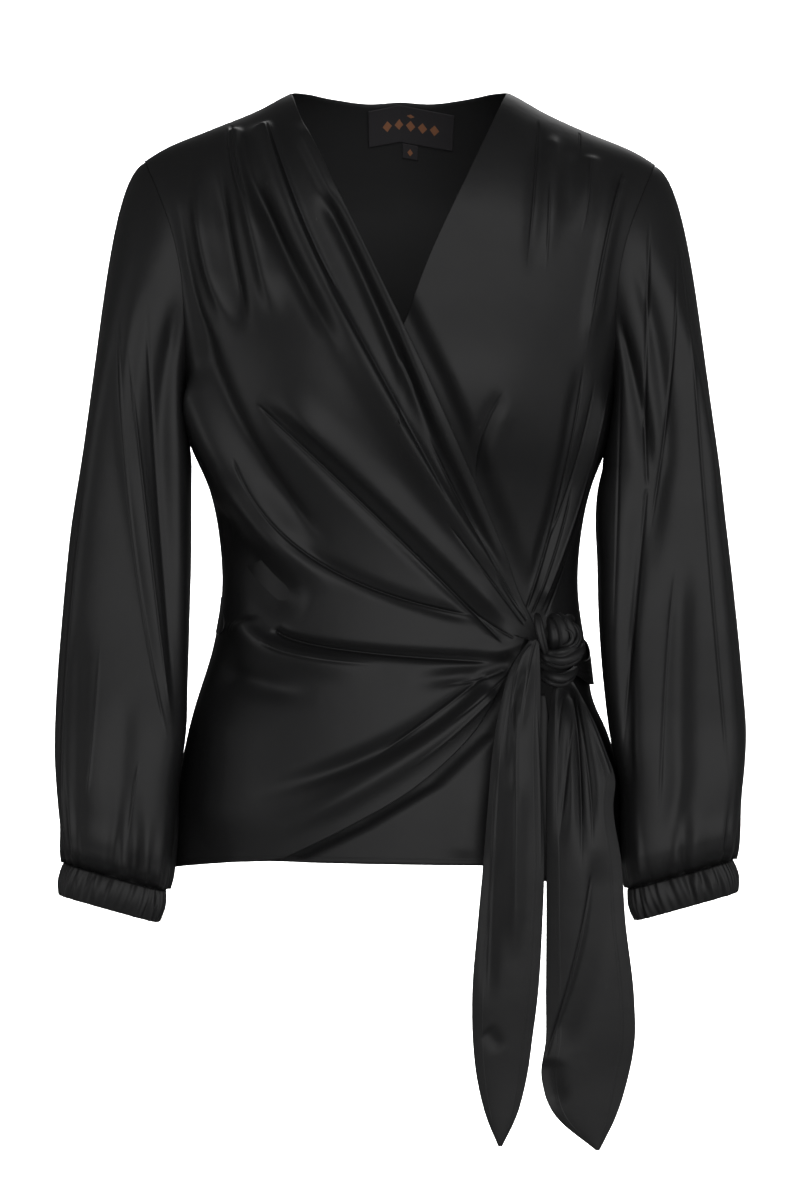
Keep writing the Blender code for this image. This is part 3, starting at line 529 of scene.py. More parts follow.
def right_front(u, v):
    edge = curve(LAP_EDGE, v) * MM
    edge_across, edge_drop = on_front(edge[..., 0], edge[..., 1])
    side_drop = curve(LAP_SIDE, v)[..., 0] * MM
    side_across = -armhole(side_drop)
    across = side_across + (edge_across - side_across) * u
    drop = side_drop + (edge_drop - side_drop) * u
    base = torso(-1, across, drop)
    away = torso_normal(-1, across, drop)
    calm = smooth(u / SIDE_CALM) * smooth(drop / SHOULDER_CALM)
    off = (base[..., 0] - KNOT_AT[0]) ** 2 + (base[..., 2] - KNOT_AT[1]) ** 2
    x, z = base[..., 0], base[..., 2]
    height = (relief(RIGHT_FOLDS, x, z) + fan(x, z)) * calm
    height = height + KNOT_LIFT * np.exp(-off / KNOT_REACH**2)
    return base + away * height[..., None]


# %% The front under it
# The row of the lapping edge at the knot, and the level below which its lower part is read.
KNOT_ROW = 8
LOW_EDGE_FROM = -390 * MM
# This front starts to sink so far outside the lapping edge, and is down after so much more.
SINK_FROM = 22 * MM
SINK_OVER = 16 * MM
# From this share of the rows on it reaches the far side seam, and it turns there over so much before.
FAR_SEAM_ROW = 0.5
TURN_ROWS = 0.04
# Quarter turns over which it sinks deeper at the far seam, and over which folds grow from the armhole.
FAR_SEAM_REACH = 0.08
LEFT_ARMHOLE_CALM = 0.09


def edge_at(rows, z):
    return np.interp(-z, -rows[:, 2] * MM, rows[:, 1] * MM)


def lap_depth(across, x, z):
    """How far the left front lies under the lapping one."""
    low, high = LAP_EDGE[KNOT_ROW:], LAP_EDGE[:KNOT_ROW + 1]
    reach = np.where(z < LOW_EDGE_FROM, edge_at(low, z), edge_at(high, z))
    under = smooth((reach + SINK_FROM - x) / SINK_OVER)
    near_seam = smooth((1 + across) / FAR_SEAM_REACH)
    return under * (SEAM_LAP + (LAP - SEAM_LAP) * near_seam)


def on_left(across, drop, lift):
    """Places on the left front, lifted off it."""
    base = torso(-1, across, drop)
    away = torso_normal(-1, across, drop)
    sink = lap_depth(across, base[..., 0], base[..., 2])
    calm = smooth((armhole(drop) - across) / LEFT_ARMHOLE_CALM) * smooth(drop / SHOULDER_CALM)
    calm = calm * smooth(1 - sink / LAP)
    height = relief(LEFT_FOLDS, base[..., 0], base[..., 2]) * calm - sink + lift
    return base + away * height[..., None]


def left_front(u, v):
    edge = curve(UNDER_EDGE, v) * MM
    edge_across, edge_drop = on_front(edge[..., 0], edge[..., 1])
    low = smooth((v - FAR_SEAM_ROW) / TURN_ROWS + 1)
    edge_across = edge_across * (1 - low) - low
    edge_drop = np.where(v > FAR_SEAM_ROW, curve(UNDER_SEAM, v)[..., 0] * MM, edge_drop)
    side_drop = curve(UNDER_SIDE, v)[..., 0] * MM
    side_across = armhole(side_drop)
    across = side_across + (edge_across - side_across) * u
    drop = side_drop + (edge_drop - side_drop) * u
    return on_left(across, drop, 0)


# %% The back
BACK_ARMHOLE_CALM = 0.1


def on_back(across, drop, lift):
    """Places on the back, lifted off it."""
    base = torso(1, across, drop)
    away = torso_normal(1, across, drop)
    calm = smooth((armhole(drop) - np.abs(across)) / BACK_ARMHOLE_CALM)
    height = relief(BACK_FOLDS, base[..., 0], base[..., 2]) * calm + lift
    return base + away * height[..., None]


def back(u, v):
    u = 2 * u - 1
    top_across = u * armhole(np.zeros(np.shape(u)))
    width = curve(TORSO, SHOULDER_TOP)[..., 0]
    x = np.abs(width * np.sin(top_across * np.pi / 2))
    top = np.where(x < BACK_NECK[-1, 0], curve(BACK_NECK, x)[..., 0], 0)
    drop = top + (HEM_DROP - top) * v
    return on_back(u * armhole(drop), drop, 0)


# %% Fronts and back made
CUT_FRONT = (0.40, 0.70)
CUT_BACK = (0.50, 0.66)


def hem_at_foot(cut):
    """Distance from the foot of a piece, and place along it."""
    return lambda u, v: ((1 - v) * cut[1], u * cut[0])


front_right_cloth = cloth(
    "right_front_cloth", 204, 240, right_front, CUT_FRONT,
    creases=RIGHT_CREASES, hem=hem_at_foot(CUT_FRONT))
front_left_cloth = cloth(
    "left_front_cloth", 170, 210, left_front, CUT_FRONT,
    creases=LEFT_CREASES, hem=hem_at_foot(CUT_FRONT))
back_cloth = cloth(
    "back_cloth", 110, 120, back, CUT_BACK, outward=lambda p: -facing_front(p), hem=hem_at_foot(CUT_BACK))
for name, (width, length, area) in sizes.items():
    print(f"{name}: {width:.3f} x {length:.3f} m, {area:.4f} m2")

# %% [markdown]
# ## Sleeves and cuffs
# A bishop sleeve is one wide piece, eased into the armhole and gathered into the cuff. It falls in long
# folds from the cap, and the gathers puff it out above the wrist. The cuff is a narrow band with elastic
# drawn through it, so it is ruched all round. Waves of several lengths are added up for both, since
# gathers of one length would look like a machine part.

# %% Sleeve sections
# Sleeve sections, mm: level, outer edge, inner edge, middle towards the front, half depth.
SLEEVE_RIGHT = np.array([
    (-272, 248, 162, -4.2, 60.6),
    (-296, 251, 162, -6.2, 60),
    (-343, 256, 162, -14, 59),
    (-390, 260, 163, -22, 58),
    (-437, 263, 164, -34, 58),
    (-476, 264, 165, -46, 57),
    (-513, 263.5, 171, -53, 55),
    (-543, 262, 173, -57, 52),
    (-567, 259.5, 176, -59, 50),
    (-579, 258, 178, -59, 45),
    (-586, 257, 180, -59, 28),
]) * MM
SLEEVE_LEFT = np.array([
    (-272, 248.5, 157.5, -4, 60),
    (-290, 250.5, 153.5, -5, 60),
    (-310, 252.5, 152, -8, 60),
    (-343, 256, 153, -13.5, 59),
    (-390, 260.5, 154, -23, 58),
    (-437, 264, 157, -36, 58),
    (-476, 266, 161.5, -48, 57),
    (-513, 264, 169.5, -55, 55),
    (-543, 260.5, 169.5, -59, 52),
    (-567, 257.5, 171, -61, 50),
    (-577, 256, 173, -61, 45),
    (-584, 254.5, 175, -61, 28),
]) * MM
WRIST_TILT = 0.28
TILT_FROM = -450 * MM
TILT_OVER = 130 * MM
# How square a section of the sleeve is, and how much of its depth is left by that.
SLEEVE_FLAT = 0.40
SLEEVE_DEEP = 0.95
SEAM_TUCK = 0.7 * MM

# %% Sleeve folds and gathers
# Sleeve folds: start and end in degrees from the outer line, start and end level in mm,
# rise in mm, reach in degrees.
SLEEVE_FOLDS_RIGHT = [
    (90, 141, -60, -500, -6.5, 12),
    (55, 132, -120, -490, 2.6, 6),
    (73, 134, -150, -480, 2.6, 5),
    (28, 32, -250, -560, 2.4, 9),
    (58, 62, -380, -580, -2.4, 9),
    (92, 96, -440, -580, -2.4, 8),
    (205, 215, -230, -520, -4, 16),
    (250, 232, -200, -520, 3.4, 17),
    (292, 280, -180, -540, -4, 17),
    (330, 318, -200, -560, 3, 15),
]
SLEEVE_FOLDS_LEFT = [
    (118, 97, -50, -310, -6, 7),
    (97, 139, -260, -530, -6.5, 8),
    (64, 104, -80, -370, -4.6, 7),
    (79, 100, -325, -580, -5.5, 8),
    (50, 54, -70, -540, 3.2, 9),
    (86, 122, -200, -460, 2.6, 7),
    (208, 216, -230, -520, -4, 16),
    (246, 236, -200, -520, 3.2, 17),
    (286, 276, -180, -540, -4, 17),
    (326, 316, -200, -560, 3, 15),
]
# How far along the cap its folds have grown to their full height.
CAP_CALM = 0.35

PUCKERS = 19
SMALL_PUCKERS = 13
LEAST_PUCKER = 8 * MM
PUCKER_FOOT = -586 * MM
PUCKER_LONG = 66 * MM
PUCKER_RISE = 2.2 * MM

# Fine creases of the sleeves, in the columns of those of the fronts.
SLEEVE_CREASES_RIGHT = [
    (-194.9, -143.3, -186.4, -297.4, -171.8, -463, -0.5, 1.6, 0.2, 0.2),
    (-216.9, -148.3, -205.4, -320.8, -176.3, -481.7, 0.45, 1.1, 0.15, 0.1),
    (-209.2, -175.1, -191.6, -332.3, -174.7, -462.5, 0.4, 1.0, 0.15, 0.1),
    (-242.6, -289.7, -254.2, -405.2, -258, -532.3, 0.4, 1.1, 0.1, 0.1),
    (-229.3, -405, -233.1, -473.8, -238.5, -527.3, 0.3, 1.2, 0.3, 0.2),
    (-198.2, -496.4, -202.8, -526.9, -207.4, -565, 0.4, 1.2, 0.3, 0.3),
]
SLEEVE_CREASES_LEFT = [
    (192.6, -77.9, 188.7, -212.6, 190.3, -289.7, -0.6, 1.4, 0.1, 0.1),
    (189.3, -290.1, 183.9, -347.6, 168.6, -500.8, -0.6, 1.4, 0.1, 0.2),
    (213.4, -101, 208, -204.9, 191, -328.2, -0.5, 1.1, 0.2, 0.2),
    (211.7, -347.6, 202.6, -435.6, 196.5, -550.2, -0.5, 1.4, 0.2, 0.2),
    (216.7, -97.8, 228.2, -220.7, 249.7, -520.4, 0.45, 1.2, 0.1, 0.1),
    (170.6, -182.3, 167.5, -297.6, 162.9, -412.8, -0.4, 1.2, 0.2, 0.2),
]


# %% The sleeve as a surface
def armhole_loop(hand, turn):
    """The armhole, turn in degrees: 0 shoulder, 90 front, 180 underarm, 270 back."""
    folded = np.where(turn <= 180, turn, 360 - turn) / 180
    walk = np.linspace(0, UNDERARM, 200)
    edge = torso(-1, armhole(walk), walk)
    steps = np.concatenate([[0], np.cumsum(np.linalg.norm(np.diff(edge, axis=0), axis=1))])
    drop = np.interp(folded * steps[-1], steps, walk)
    front = torso(-1, hand * armhole(drop), drop)
    rear = torso(1, hand * armhole(drop), drop)
    front[..., 1] += SEAM_GAP / 2
    rear[..., 1] -= SEAM_GAP / 2
    return np.where((turn <= 180)[..., None], front, rear)


def sleeve_ring(hand, table, level, turn):
    """The section of a sleeve at a level."""
    outer, inner, middle, depth = np.moveaxis(curve(table[::-1], level), -1, 0)
    angle = np.radians(turn)
    half = (outer - inner) / 2
    centre = (outer + inner) / 2
    reach = half * np.cos(angle) * (1 + SLEEVE_FLAT * np.sin(angle) ** 2)
    deep = depth * SLEEVE_DEEP * np.sin(angle) * (1 + SLEEVE_FLAT * np.cos(angle) ** 2)
    tilt = WRIST_TILT * smooth((TILT_FROM - level) / TILT_OVER)
    return np.stack([hand * (centre + reach), middle - deep, level + tilt * reach], -1)


def puckers(hand, turn, level):
    """Gathers above the cuff, uneven in length, depth and spacing."""
    angle = np.radians(turn)
    wander = 1.4 * np.sin(3 * angle + hand) + 0.8 * np.sin(7 * angle) + 0.5 * np.sin(11 * angle + 2)
    reach = PUCKER_LONG * (0.8 + 0.5 * np.sin(5 * angle + 2 * hand) + 0.3 * np.sin(8 * angle + 1))
    grow = smooth((PUCKER_FOOT + reach - level) / np.maximum(reach, LEAST_PUCKER))
    deep = 0.9 + 0.5 * np.sin(4 * angle + 1) + 0.35 * np.sin(9 * angle + hand)
    wave = np.cos(angle * PUCKERS + wander) + 0.45 * np.cos(angle * SMALL_PUCKERS + 2 * wander)
    return PUCKER_RISE * grow * deep * wave


def sleeve(hand, table, folds, turn, along):
    """A sleeve: along 0 at the armhole, 1 below the underarm, 2 at the wrist."""
    start = armhole_loop(hand, turn)
    ring_top = table[0, 0]
    end = sleeve_ring(hand, table, np.full(np.shape(turn), ring_top), turn)
    # The cap is a curve that leaves the armhole sideways and joins the tube from above.
    head = np.clip(along, 0, 1)[..., None]
    low = (1 - np.cos(np.radians(turn))) / 2
    start = start + np.stack([0 * low - hand, 0 * low, -1.2 * (1 - low)], -1) * SEAM_TUCK
    front = np.sin(np.radians(turn))
    reach = np.linalg.norm(end - start, axis=-1)
    leave = unit(np.stack([hand * (1 - 0.75 * low), -0.22 * front, -0.35 - 0.75 * low], -1))
    first = start + leave * (0.11 * reach + 2 * MM)[..., None]
    second = end + np.stack([-hand * 0.06 * (1 - low) * reach, 0 * reach, 0.42 * reach], -1)
    cap = ((1 - head) ** 3 * start + 3 * head * (1 - head) ** 2 * first
           + 3 * head**2 * (1 - head) * second + head**3 * end)
    level = ring_top + (table[-1, 0] - ring_top) * np.clip(along - 1, 0, 1)
    tube = sleeve_ring(hand, table, level, turn)
    points = np.where(head < 1, cap, tube)
    outwards = np.stack([hand * np.cos(np.radians(turn)), -front, 0 * front], -1)
    height = np.zeros(np.shape(turn))
    for turn0, turn1, level0, level1, rise, spread in folds:
        part = (points[..., 2] - level0 * MM) / ((level1 - level0) * MM)
        off = (turn - (turn0 + (turn1 - turn0) * np.clip(part, 0, 1)) + 180) % 360 - 180
        ends = smooth(part / 0.25) * smooth((1 - part) / 0.25)
        height += rise * MM * ends * np.exp(-((off / spread) ** 2))
    calm = smooth(along / CAP_CALM)
    return points + outwards * (height * calm + puckers(hand, turn, level))[..., None]


# %% The cuff as a surface
CUFF_DEPTH = 25 * MM
CUFF_BULGE = 2.2 * MM
CUFF_DRAWN_IN = 0.5 * MM
CUFF_PINCH = 0.35 * MM
CUFF_SLANT = 0.2
WRIST_GAP = 0.4 * MM
CUFF_WAVES = 23
CUFF_PINCHES = 55


def cuff(hand, table, turn, down):
    """A ruched band under the sleeve: turn in degrees, down 0 to 1."""
    top = sleeve_ring(hand, table, np.full(np.shape(turn), table[-1, 0]), turn)
    angle = np.radians(turn)
    slant = unit(np.array([hand * CUFF_SLANT, 0, -1.0]))
    outwards = np.stack([hand * np.cos(angle), -np.sin(angle), WRIST_TILT * np.cos(angle)], -1)
    bulge = CUFF_BULGE * np.sin(np.pi * down) - CUFF_DRAWN_IN
    wander = 1.8 * np.sin(3 * angle + hand) + 1.3 * np.sin(5 * angle) + 0.6 * np.sin(13 * angle)
    lean_over = 1.6 * (down - 0.5) * np.sin(7 * angle + 2)
    tall = (0.9 + 0.5 * np.sin(5 * angle + 3 * down)) * MM
    wave = tall * np.cos(angle * CUFF_WAVES + wander + lean_over)
    pinch = CUFF_PINCH * np.cos(angle * CUFF_PINCHES + 5 * down)
    way = (WRIST_GAP + CUFF_DEPTH * down)[..., None]
    return top + slant * way + outwards * (bulge + wave + pinch)[..., None]


# %% Sleeves and cuffs made
CUT_SLEEVE = (0.37, 0.60)
CUT_CUFF = (0.24, 0.03)
SLEEVE_MIDDLE = (210 * MM, -20 * MM)
sleeve_cloths, cuff_cloths = {}, {}
for hand, word, table, folds, creases in (
    (-1, "right", SLEEVE_RIGHT, SLEEVE_FOLDS_RIGHT, SLEEVE_CREASES_RIGHT),
    (1, "left", SLEEVE_LEFT, SLEEVE_FOLDS_LEFT, SLEEVE_CREASES_LEFT),
):
    def outward(point):
        return Vector((point.x - hand * SLEEVE_MIDDLE[0], point.y - SLEEVE_MIDDLE[1], 0))

    sleeve_cloths[word] = cloth(
        f"{word}_sleeve_cloth", 176, 150,
        lambda u, v: sleeve(hand, table, folds, u * 360, 2 * v), CUT_SLEEVE, outward, around=True,
        creases=creases, shown=lambda u, v: smooth(6 * np.sin(2 * np.pi * u)))
    cuff_cloths[word] = cloth(
        f"{word}_cuff_cloth", 300, 16,
        lambda u, v: cuff(hand, table, u * 360, v), CUT_CUFF, outward, around=True)
for name in ("right_sleeve_cloth", "left_sleeve_cloth", "right_cuff_cloth"):
    print(name, "around, along, area:", [round(float(size), 4) for size in sizes[name]])

# %% [markdown]
# ## Ties and knot
# The ties are doubled strips with pointed ends. One comes round the back from under the wrap, the other
# goes on from the lapping front. They are tied once at the side: a roll drawn tight, a creased bulb and
# small curls behind it, two twisted passes below, and the two ends that hang from them. Every strand is
# a soft tube with creases that run along it, which is what a doubled strip becomes when it is pulled.

# %% Tie sections
# Hanging ends, mm: level, left edge and right edge in the front view, y, how far the edges fall back.
TAIL_FRONT = np.array([
    (-404, 99.0, 105.6, -101.3, 0.5),
    (-422, 86.5, 106.5, -105.5, 2),
    (-455, 76.0, 107.0, -110, 4.5),
    (-486, 70.5, 107.0, -114, 6),
    (-536, 66.0, 108.6, -118, 6),
    (-573, 63.0, 109.5, -119, 5),
    (-617, 59.0, 108.2, -118, 4.5),
    (-677, 54.5, 104.4, -116, 4),
    (-707, 55.0, 100.6, -114, 3.5),
    (-738, 58.3, 96.1, -112, 2.5),
    (-768, 65.8, 87.8, -111, 1.5),
    (-789, 74.5, 77.5, -110, 0.5),
]) * MM
TAIL_SIDE = np.array([
    (-435, 118.0, 131.0, -93, 1),
    (-446.4, 115.5, 137.5, -98, 2),
    (-465, 113.0, 147.0, -105, 4),
    (-489, 111.6, 156.6, -111, 7),
    (-510, 111.2, 163.4, -116, 8),
    (-530, 111.0, 162.0, -118, 8),
    (-573, 110.8, 168.0, -119, 7),
    (-617, 110.8, 171.0, -118, 6),
    (-677, 110.5, 177.8, -115, 5),
    (-707, 110.5, 178.4, -113, 4.5),
    (-738, 107.5, 173.0, -111, 3.5),
    (-768, 119.5, 163.4, -110, 2),
    (-792, 148.5, 151.5, -109, 0.5),
]) * MM

# %% Folds of the ends
# Folds of the ends, in the same columns as the folds of the body.
TAIL_FRONT_FOLDS = [
    (101, -420, 94, -448, 89, -486, 3, 4, 5, 0.3, 0.4),
    (97, -426, 84, -458, 78, -520, -3, 4, 5, 0.3, 0.4),
    (90, -505, 88, -575, 87, -650, 3.6, 6, 7, 0.2, 0.3),
    (74, -548, 68, -620, 68, -690, -2.6, 7, 6, 0.3, 0.3),
    (64, -700, 71, -708, 77, -717, -1.6, 6, 6, 0.2, 0.4),
]
TAIL_SIDE_FOLDS = [
    (125, -436, 125, -500, 120, -572, -5.5, 5, 5, 0.12, 0.45),
    (127, -436, 135, -495, 139, -582, -6.5, 4, 5, 0.12, 0.4),
    (129, -436, 142, -500, 146, -566, -5, 4.5, 5, 0.15, 0.4),
    (120, -437, 119, -452, 118, -490, 2.4, 3, 3, 0.2, 0.5),
    (147, -560, 141, -640, 112, -720, -4, 15, 5, 0.2, 0.15),
    (114, -722, 115, -742, 124, -762, -3, 8, 8, 0.2, 0.3),
]
TAIL_FRONT_CREASES = [
    (88.6, -440, 88, -518, 87, -639, 0.4, 1.6, 0.2, 0.3),
    (73.4, -503, 69.6, -579, 65.9, -677, 0.35, 1.1, 0.2, 0.2),
    (103.2, -404.7, 96.3, -435, 91, -480, -0.4, 0.9, 0.05, 0.5),
    (100.9, -408.5, 87.2, -435, 83.4, -496, 0.4, 1.0, 0.05, 0.4),
    (103.7, -450, 106.2, -518, 107, -586, 0.35, 0.9, 0.2, 0.3),
]
TAIL_SIDE_CREASES = [
    (131.2, -447, 136.5, -496, 137.3, -587, -0.7, 1.2, 0.05, 0.3),
    (134.3, -450, 144.1, -516, 145.6, -571, -0.5, 1.1, 0.05, 0.4),
    (132.7, -462, 126, -511, 120, -564, -0.5, 1.2, 0.2, 0.4),
    (145.3, -579, 132.5, -647, 110.5, -722, -0.6, 1.1, 0.1, 0.04),
    (139, -452, 151, -481, 160, -507, 0.4, 0.9, 0.1, 0.05),
    (124, -450, 121, -470, 119, -500, 0.4, 1.0, 0.1, 0.5),
]

# %% The ends and the waist tie as surfaces
# The tie round the waist: degrees from the middle front by the left, drop, height and lift, mm.
WAIST_TIE = np.array([
    (59, 503, 13, 9),
    (70, 507, 17, 5.5),
    (82, 505, 23, 3.8),
    (92, 500, 28, 3),
    (120, 487, 33, 2.2),
    (180, 471, 36, 1.4),
    (240, 465, 32, 1.3),
    (267, 462, 28, 1.1),
])
WAIST_TIE_ENDS = (WAIST_TIE[0, 0], WAIST_TIE[-1, 0])
GATHER_AT = 64
GATHER_REACH = 26
GATHER_RISE = 1.2 * MM


def tail(table, folds, across, level):
    """A hanging end: across 0 to 1 over its width, its folds in the front view."""
    left, right, forward, bow = np.moveaxis(curve(table[::-1], level), -1, 0)
    x = left + (right - left) * across
    y = forward + bow * (2 * across - 1) ** 2 - relief(folds, x, level)
    return np.stack([x, y, level], -1)


def waist_tie(around, share):
    """The tie round the waist, gathered where it goes into the knot."""
    drop, height, lift = np.moveaxis(curve(WAIST_TIE, around), -1, 0) * MM
    drop = drop + height * (share - 0.5)
    gathered = smooth(1 - np.abs(around - GATHER_AT) / GATHER_REACH)
    lift = lift + GATHER_RISE * gathered * np.cos(3 * np.pi * share) ** 2
    rear = on_back(2 - around / 90, drop, lift)
    fore = on_left(np.minimum(around / 90, 1), drop, lift)
    return np.where((around > 90)[..., None], rear, fore)


# %% Strands of the knot
# Each strand: across, y, level, half width and half depth at places of its way in mm, then the number of
# its creases, how deep they go and how far they twist.
KNOT_STRANDS = {
    "roll": ([
        (104.2, -91, -384.5, 0.8, 1.2),
        (104.8, -97, -388, 2.9, 4.4),
        (106.2, -100.5, -396, 3.4, 5.4),
        (108.6, -101, -406, 3.0, 5.0),
        (111.4, -98.5, -415.5, 2.4, 4.2),
        (113.0, -95, -421, 1.0, 2.0),
    ], 2, 0.55, 0.4),
    "bulb": ([
        (115, -82, -388, 3.0, 3.0),
        (118.5, -89, -391, 8.5, 7.5),
        (121.5, -92, -397, 12.2, 9.4),
        (123, -92, -404, 12.8, 10.5),
        (122.5, -90, -411, 10.5, 8.5),
        (121, -86, -417, 6.0, 5.0),
    ], 7, 0.24, 1.8),
    "curl": ([
        (120, -100.5, -413, 0.8, 1.4),
        (127, -101, -411.5, 2.4, 3.4),
        (133.5, -97.5, -407.5, 3.0, 4.2),
        (136.0, -94, -401, 2.8, 4.0),
        (133.5, -93, -394.5, 2.2, 3.4),
        (127.5, -94, -391.5, 0.8, 1.6),
    ], 3, 0.25, 1.0),
    "inner_curl": ([
        (122.5, -102, -409.5, 0.6, 1.0),
        (128.0, -102.8, -408, 1.7, 2.4),
        (131.0, -101.6, -403.5, 1.8, 2.6),
        (129.5, -100.8, -398.5, 1.4, 2.0),
        (125.5, -101.0, -397, 0.6, 1.0),
    ], 2, 0.2, 0.0),
    "strap": ([
        (119, -97.5, -397, 2.4, 1.4),
        (123.5, -97.0, -393.5, 4.0, 2.4),
        (127.5, -91, -390, 4.6, 2.6),
        (130, -82, -389, 4.2, 2.4),
        (130, -72, -392, 3.4, 2.0),
    ], 3, 0.2, 0.5),
    "first_pass": ([
        (106.5, -84, -413, 2.0, 2.0),
        (108.5, -93, -416, 4.6, 3.6),
        (115, -101.5, -418.5, 6.6, 4.8),
        (124, -103, -418.5, 8.2, 5.4),
        (132.5, -97.5, -413.5, 8.2, 5.0),
        (137.0, -86, -408, 5.0, 3.4),
    ], 5, 0.34, 5.4),
    "second_pass": ([
        (106.5, -86, -427, 1.6, 1.8),
        (109, -95, -431, 4.0, 3.4),
        (115.5, -101, -434.5, 5.4, 4.2),
        (123.5, -100, -435, 5.6, 4.4),
        (130.5, -92, -431, 4.2, 3.6),
        (134, -82, -427, 2.4, 2.4),
    ], 3, 0.32, 4.6),
    "inner_fold": ([
        (108.8, -90, -446, 2.0, 1.0),
        (109.6, -96, -470, 4.4, 1.4),
        (110.6, -101, -505, 4.8, 1.4),
        (111.6, -105, -545, 4.6, 1.4),
        (112.6, -106, -588, 3.4, 1.2),
    ], 2, 0.2, 0.4),
}


# %% A strand as a surface
def strand(path, creases, depth, twist, u, v):
    """A soft roll of cloth: u round it, v along it, with creases that run along and twist a little."""
    table = np.column_stack([np.linspace(0, 1, len(path)), np.array(path) * MM])
    here = curve(table, v)
    before, after = curve(table, np.maximum(v - 0.01, 0)), curve(table, np.minimum(v + 0.01, 1))
    ahead = unit(after[..., :3] - before[..., :3])
    out = unit(np.array([0, -1.0, 0]) + ahead * ahead[..., 1:2])
    side = np.cross(ahead, out)
    angle = 2 * np.pi * u
    turn = creases * angle + twist * (v - 0.5) + 0.5 * np.sin(2 * angle)
    folded = (0.5 - 0.5 * np.cos(turn)) ** 3
    swell = 1 - depth * folded
    across = side * (here[..., 3] * swell * np.cos(angle))[..., None]
    deep = out * (here[..., 4] * swell * np.sin(angle))[..., None]
    return here[..., :3] + across + deep


# %% Ties and knot made
CUT_TAIL = (0.115, 0.39)
CUT_WAIST = (0.055, 0.46)
CUT_STRAND = (0.04, 0.05)
STRAND_CLOTH = 0.3 * MM
# An end is cut double and tapers, so about this share of its cut width shows.
SHOWN_WIDTH = 0.4


def between(ends, share):
    return ends[0] + (ends[-1] - ends[0]) * share


def hem_at_sides(cut):
    return lambda u, v: (np.minimum(u, 1 - u) * cut[0] * SHOWN_WIDTH, v * cut[1])


def hanging_end(name, columns, table, folds, creases):
    return cloth(name, columns, 170, lambda u, v: tail(table, folds, u, between(table[:, 0], v)),
                 CUT_TAIL, creases=creases, hem=hem_at_sides(CUT_TAIL))


tail_front_cloth = hanging_end(
    "front_tail_cloth", 60, TAIL_FRONT, TAIL_FRONT_FOLDS, TAIL_FRONT_CREASES)
tail_side_cloth = hanging_end(
    "side_tail_cloth", 84, TAIL_SIDE, TAIL_SIDE_FOLDS, TAIL_SIDE_CREASES)
waist_cloth = cloth(
    "waist_tie_cloth", 14, 200, lambda u, v: waist_tie(between(WAIST_TIE_ENDS, v), u), CUT_WAIST,
    outward=lambda p: Vector((p.x, p.y, 0)))
strand_cloths = {}
for name, (path, creases, depth, twist) in KNOT_STRANDS.items():
    middle = Vector(np.mean(np.array(path)[:, :3], axis=0) * MM)
    strand_cloths[name] = cloth(
        f"knot_{name}_cloth", 64, 40, lambda u, v: strand(path, creases, depth, twist, u, v), CUT_STRAND,
        outward=lambda p: p - middle, around=True, thickness=STRAND_CLOTH)
for name in ("front_tail_cloth", "side_tail_cloth", "waist_tie_cloth"):
    print(name, "across, along, area:", [round(float(size), 4) for size in sizes[name]])

# %% [markdown]
# ## Label, size tab and thread loop
# The woven label is sewn inside the back neck with a small size tab under it. A row of plain diamonds in
# copper thread is all that it carries. A small loop of twisted thread is sewn down at the right side
# seam. All three lie on the cloth, so each is placed on the same form and follows it.

# %% Label, size tab and thread loop made
# Middle, width, and drop of the upper and lower edge, mm.
LABEL = (8.4, 66, 63.6, 99.5)
SIZE_TAB = (8.2, 12, 100.2, 112)
SHOULDER_HALF = 212 * MM
LABEL_SEAT = CAD_CLOTH + 0.8 * MM
LABEL_CLOTH = 0.5 * MM
CUT_LABEL = (0.066, 0.036)
CUT_SIZE_TAB = (0.012, 0.012)


def tab(places, u, v):
    """A woven tab on the inside of the back."""
    middle, width, start, end = np.array(places) * MM
    across = np.arcsin((middle + width * (u - 0.5)) / SHOULDER_HALF) / (np.pi / 2)
    return on_back(across, between((start, end), v), -LABEL_SEAT)


label_cloth = cloth(
    "label_cloth", 60, 40, lambda u, v: tab(LABEL, u, v), CUT_LABEL, thickness=LABEL_CLOTH)
size_cloth = cloth(
    "size_tab_cloth", 16, 16, lambda u, v: tab(SIZE_TAB, u, v), CUT_SIZE_TAB, thickness=LABEL_CLOTH)
# Thread loop, mm, front view: share of its way, across, level, lift.
SIDE_LOOP = np.array([
    (0.00, -137.6, -383, 0.3),
    (0.30, -135.6, -387, 0.8),
    (0.60, -134.8, -393, 1.0),
    (0.85, -136.6, -398.5, 0.7),
    (1.00, -139.5, -401, 0.3),
])
THREAD = 0.55 * MM
THREAD_TWIST = 26
LOOP_PLACES = 200
LOOP_MIDDLE = Vector((-0.136, -0.03, -0.392))
CUT_LOOP = (0.0035, 0.02)


def side_loop(u, v):
    """The thread loop: two strands twisted round each other."""
    ways = np.linspace(0, 1, LOOP_PLACES)
    x, z, lift = np.moveaxis(curve(SIDE_LOOP, ways), -1, 0) * MM
    across, drop = on_front(x, z)
    away = torso_normal(-1, across, drop)
    line = torso(-1, across, drop) + away * (lift + THREAD)[..., None]
    along = unit(np.gradient(line, axis=0))
    aside = np.cross(along, away)
    place = np.round(v * (LOOP_PLACES - 1)).astype(int)
    angle = 2 * np.pi * u
    thick = THREAD * (0.75 + 0.25 * np.abs(np.cos(angle + THREAD_TWIST * v)))
    sideways = (thick * np.cos(angle))[:, None] * aside[place]
    return line[place] + sideways + (thick * np.sin(angle))[:, None] * away[place]


loop_thread = cloth(
    "side_loop_thread", 16, 80, side_loop, CUT_LOOP,
    outward=lambda p: p - LOOP_MIDDLE, around=True, thickness=0.1 * MM)
print("label, mm:", round(sizes["label_cloth"][0] * 1e3, 1), "x", round(sizes["label_cloth"][1] * 1e3, 1))

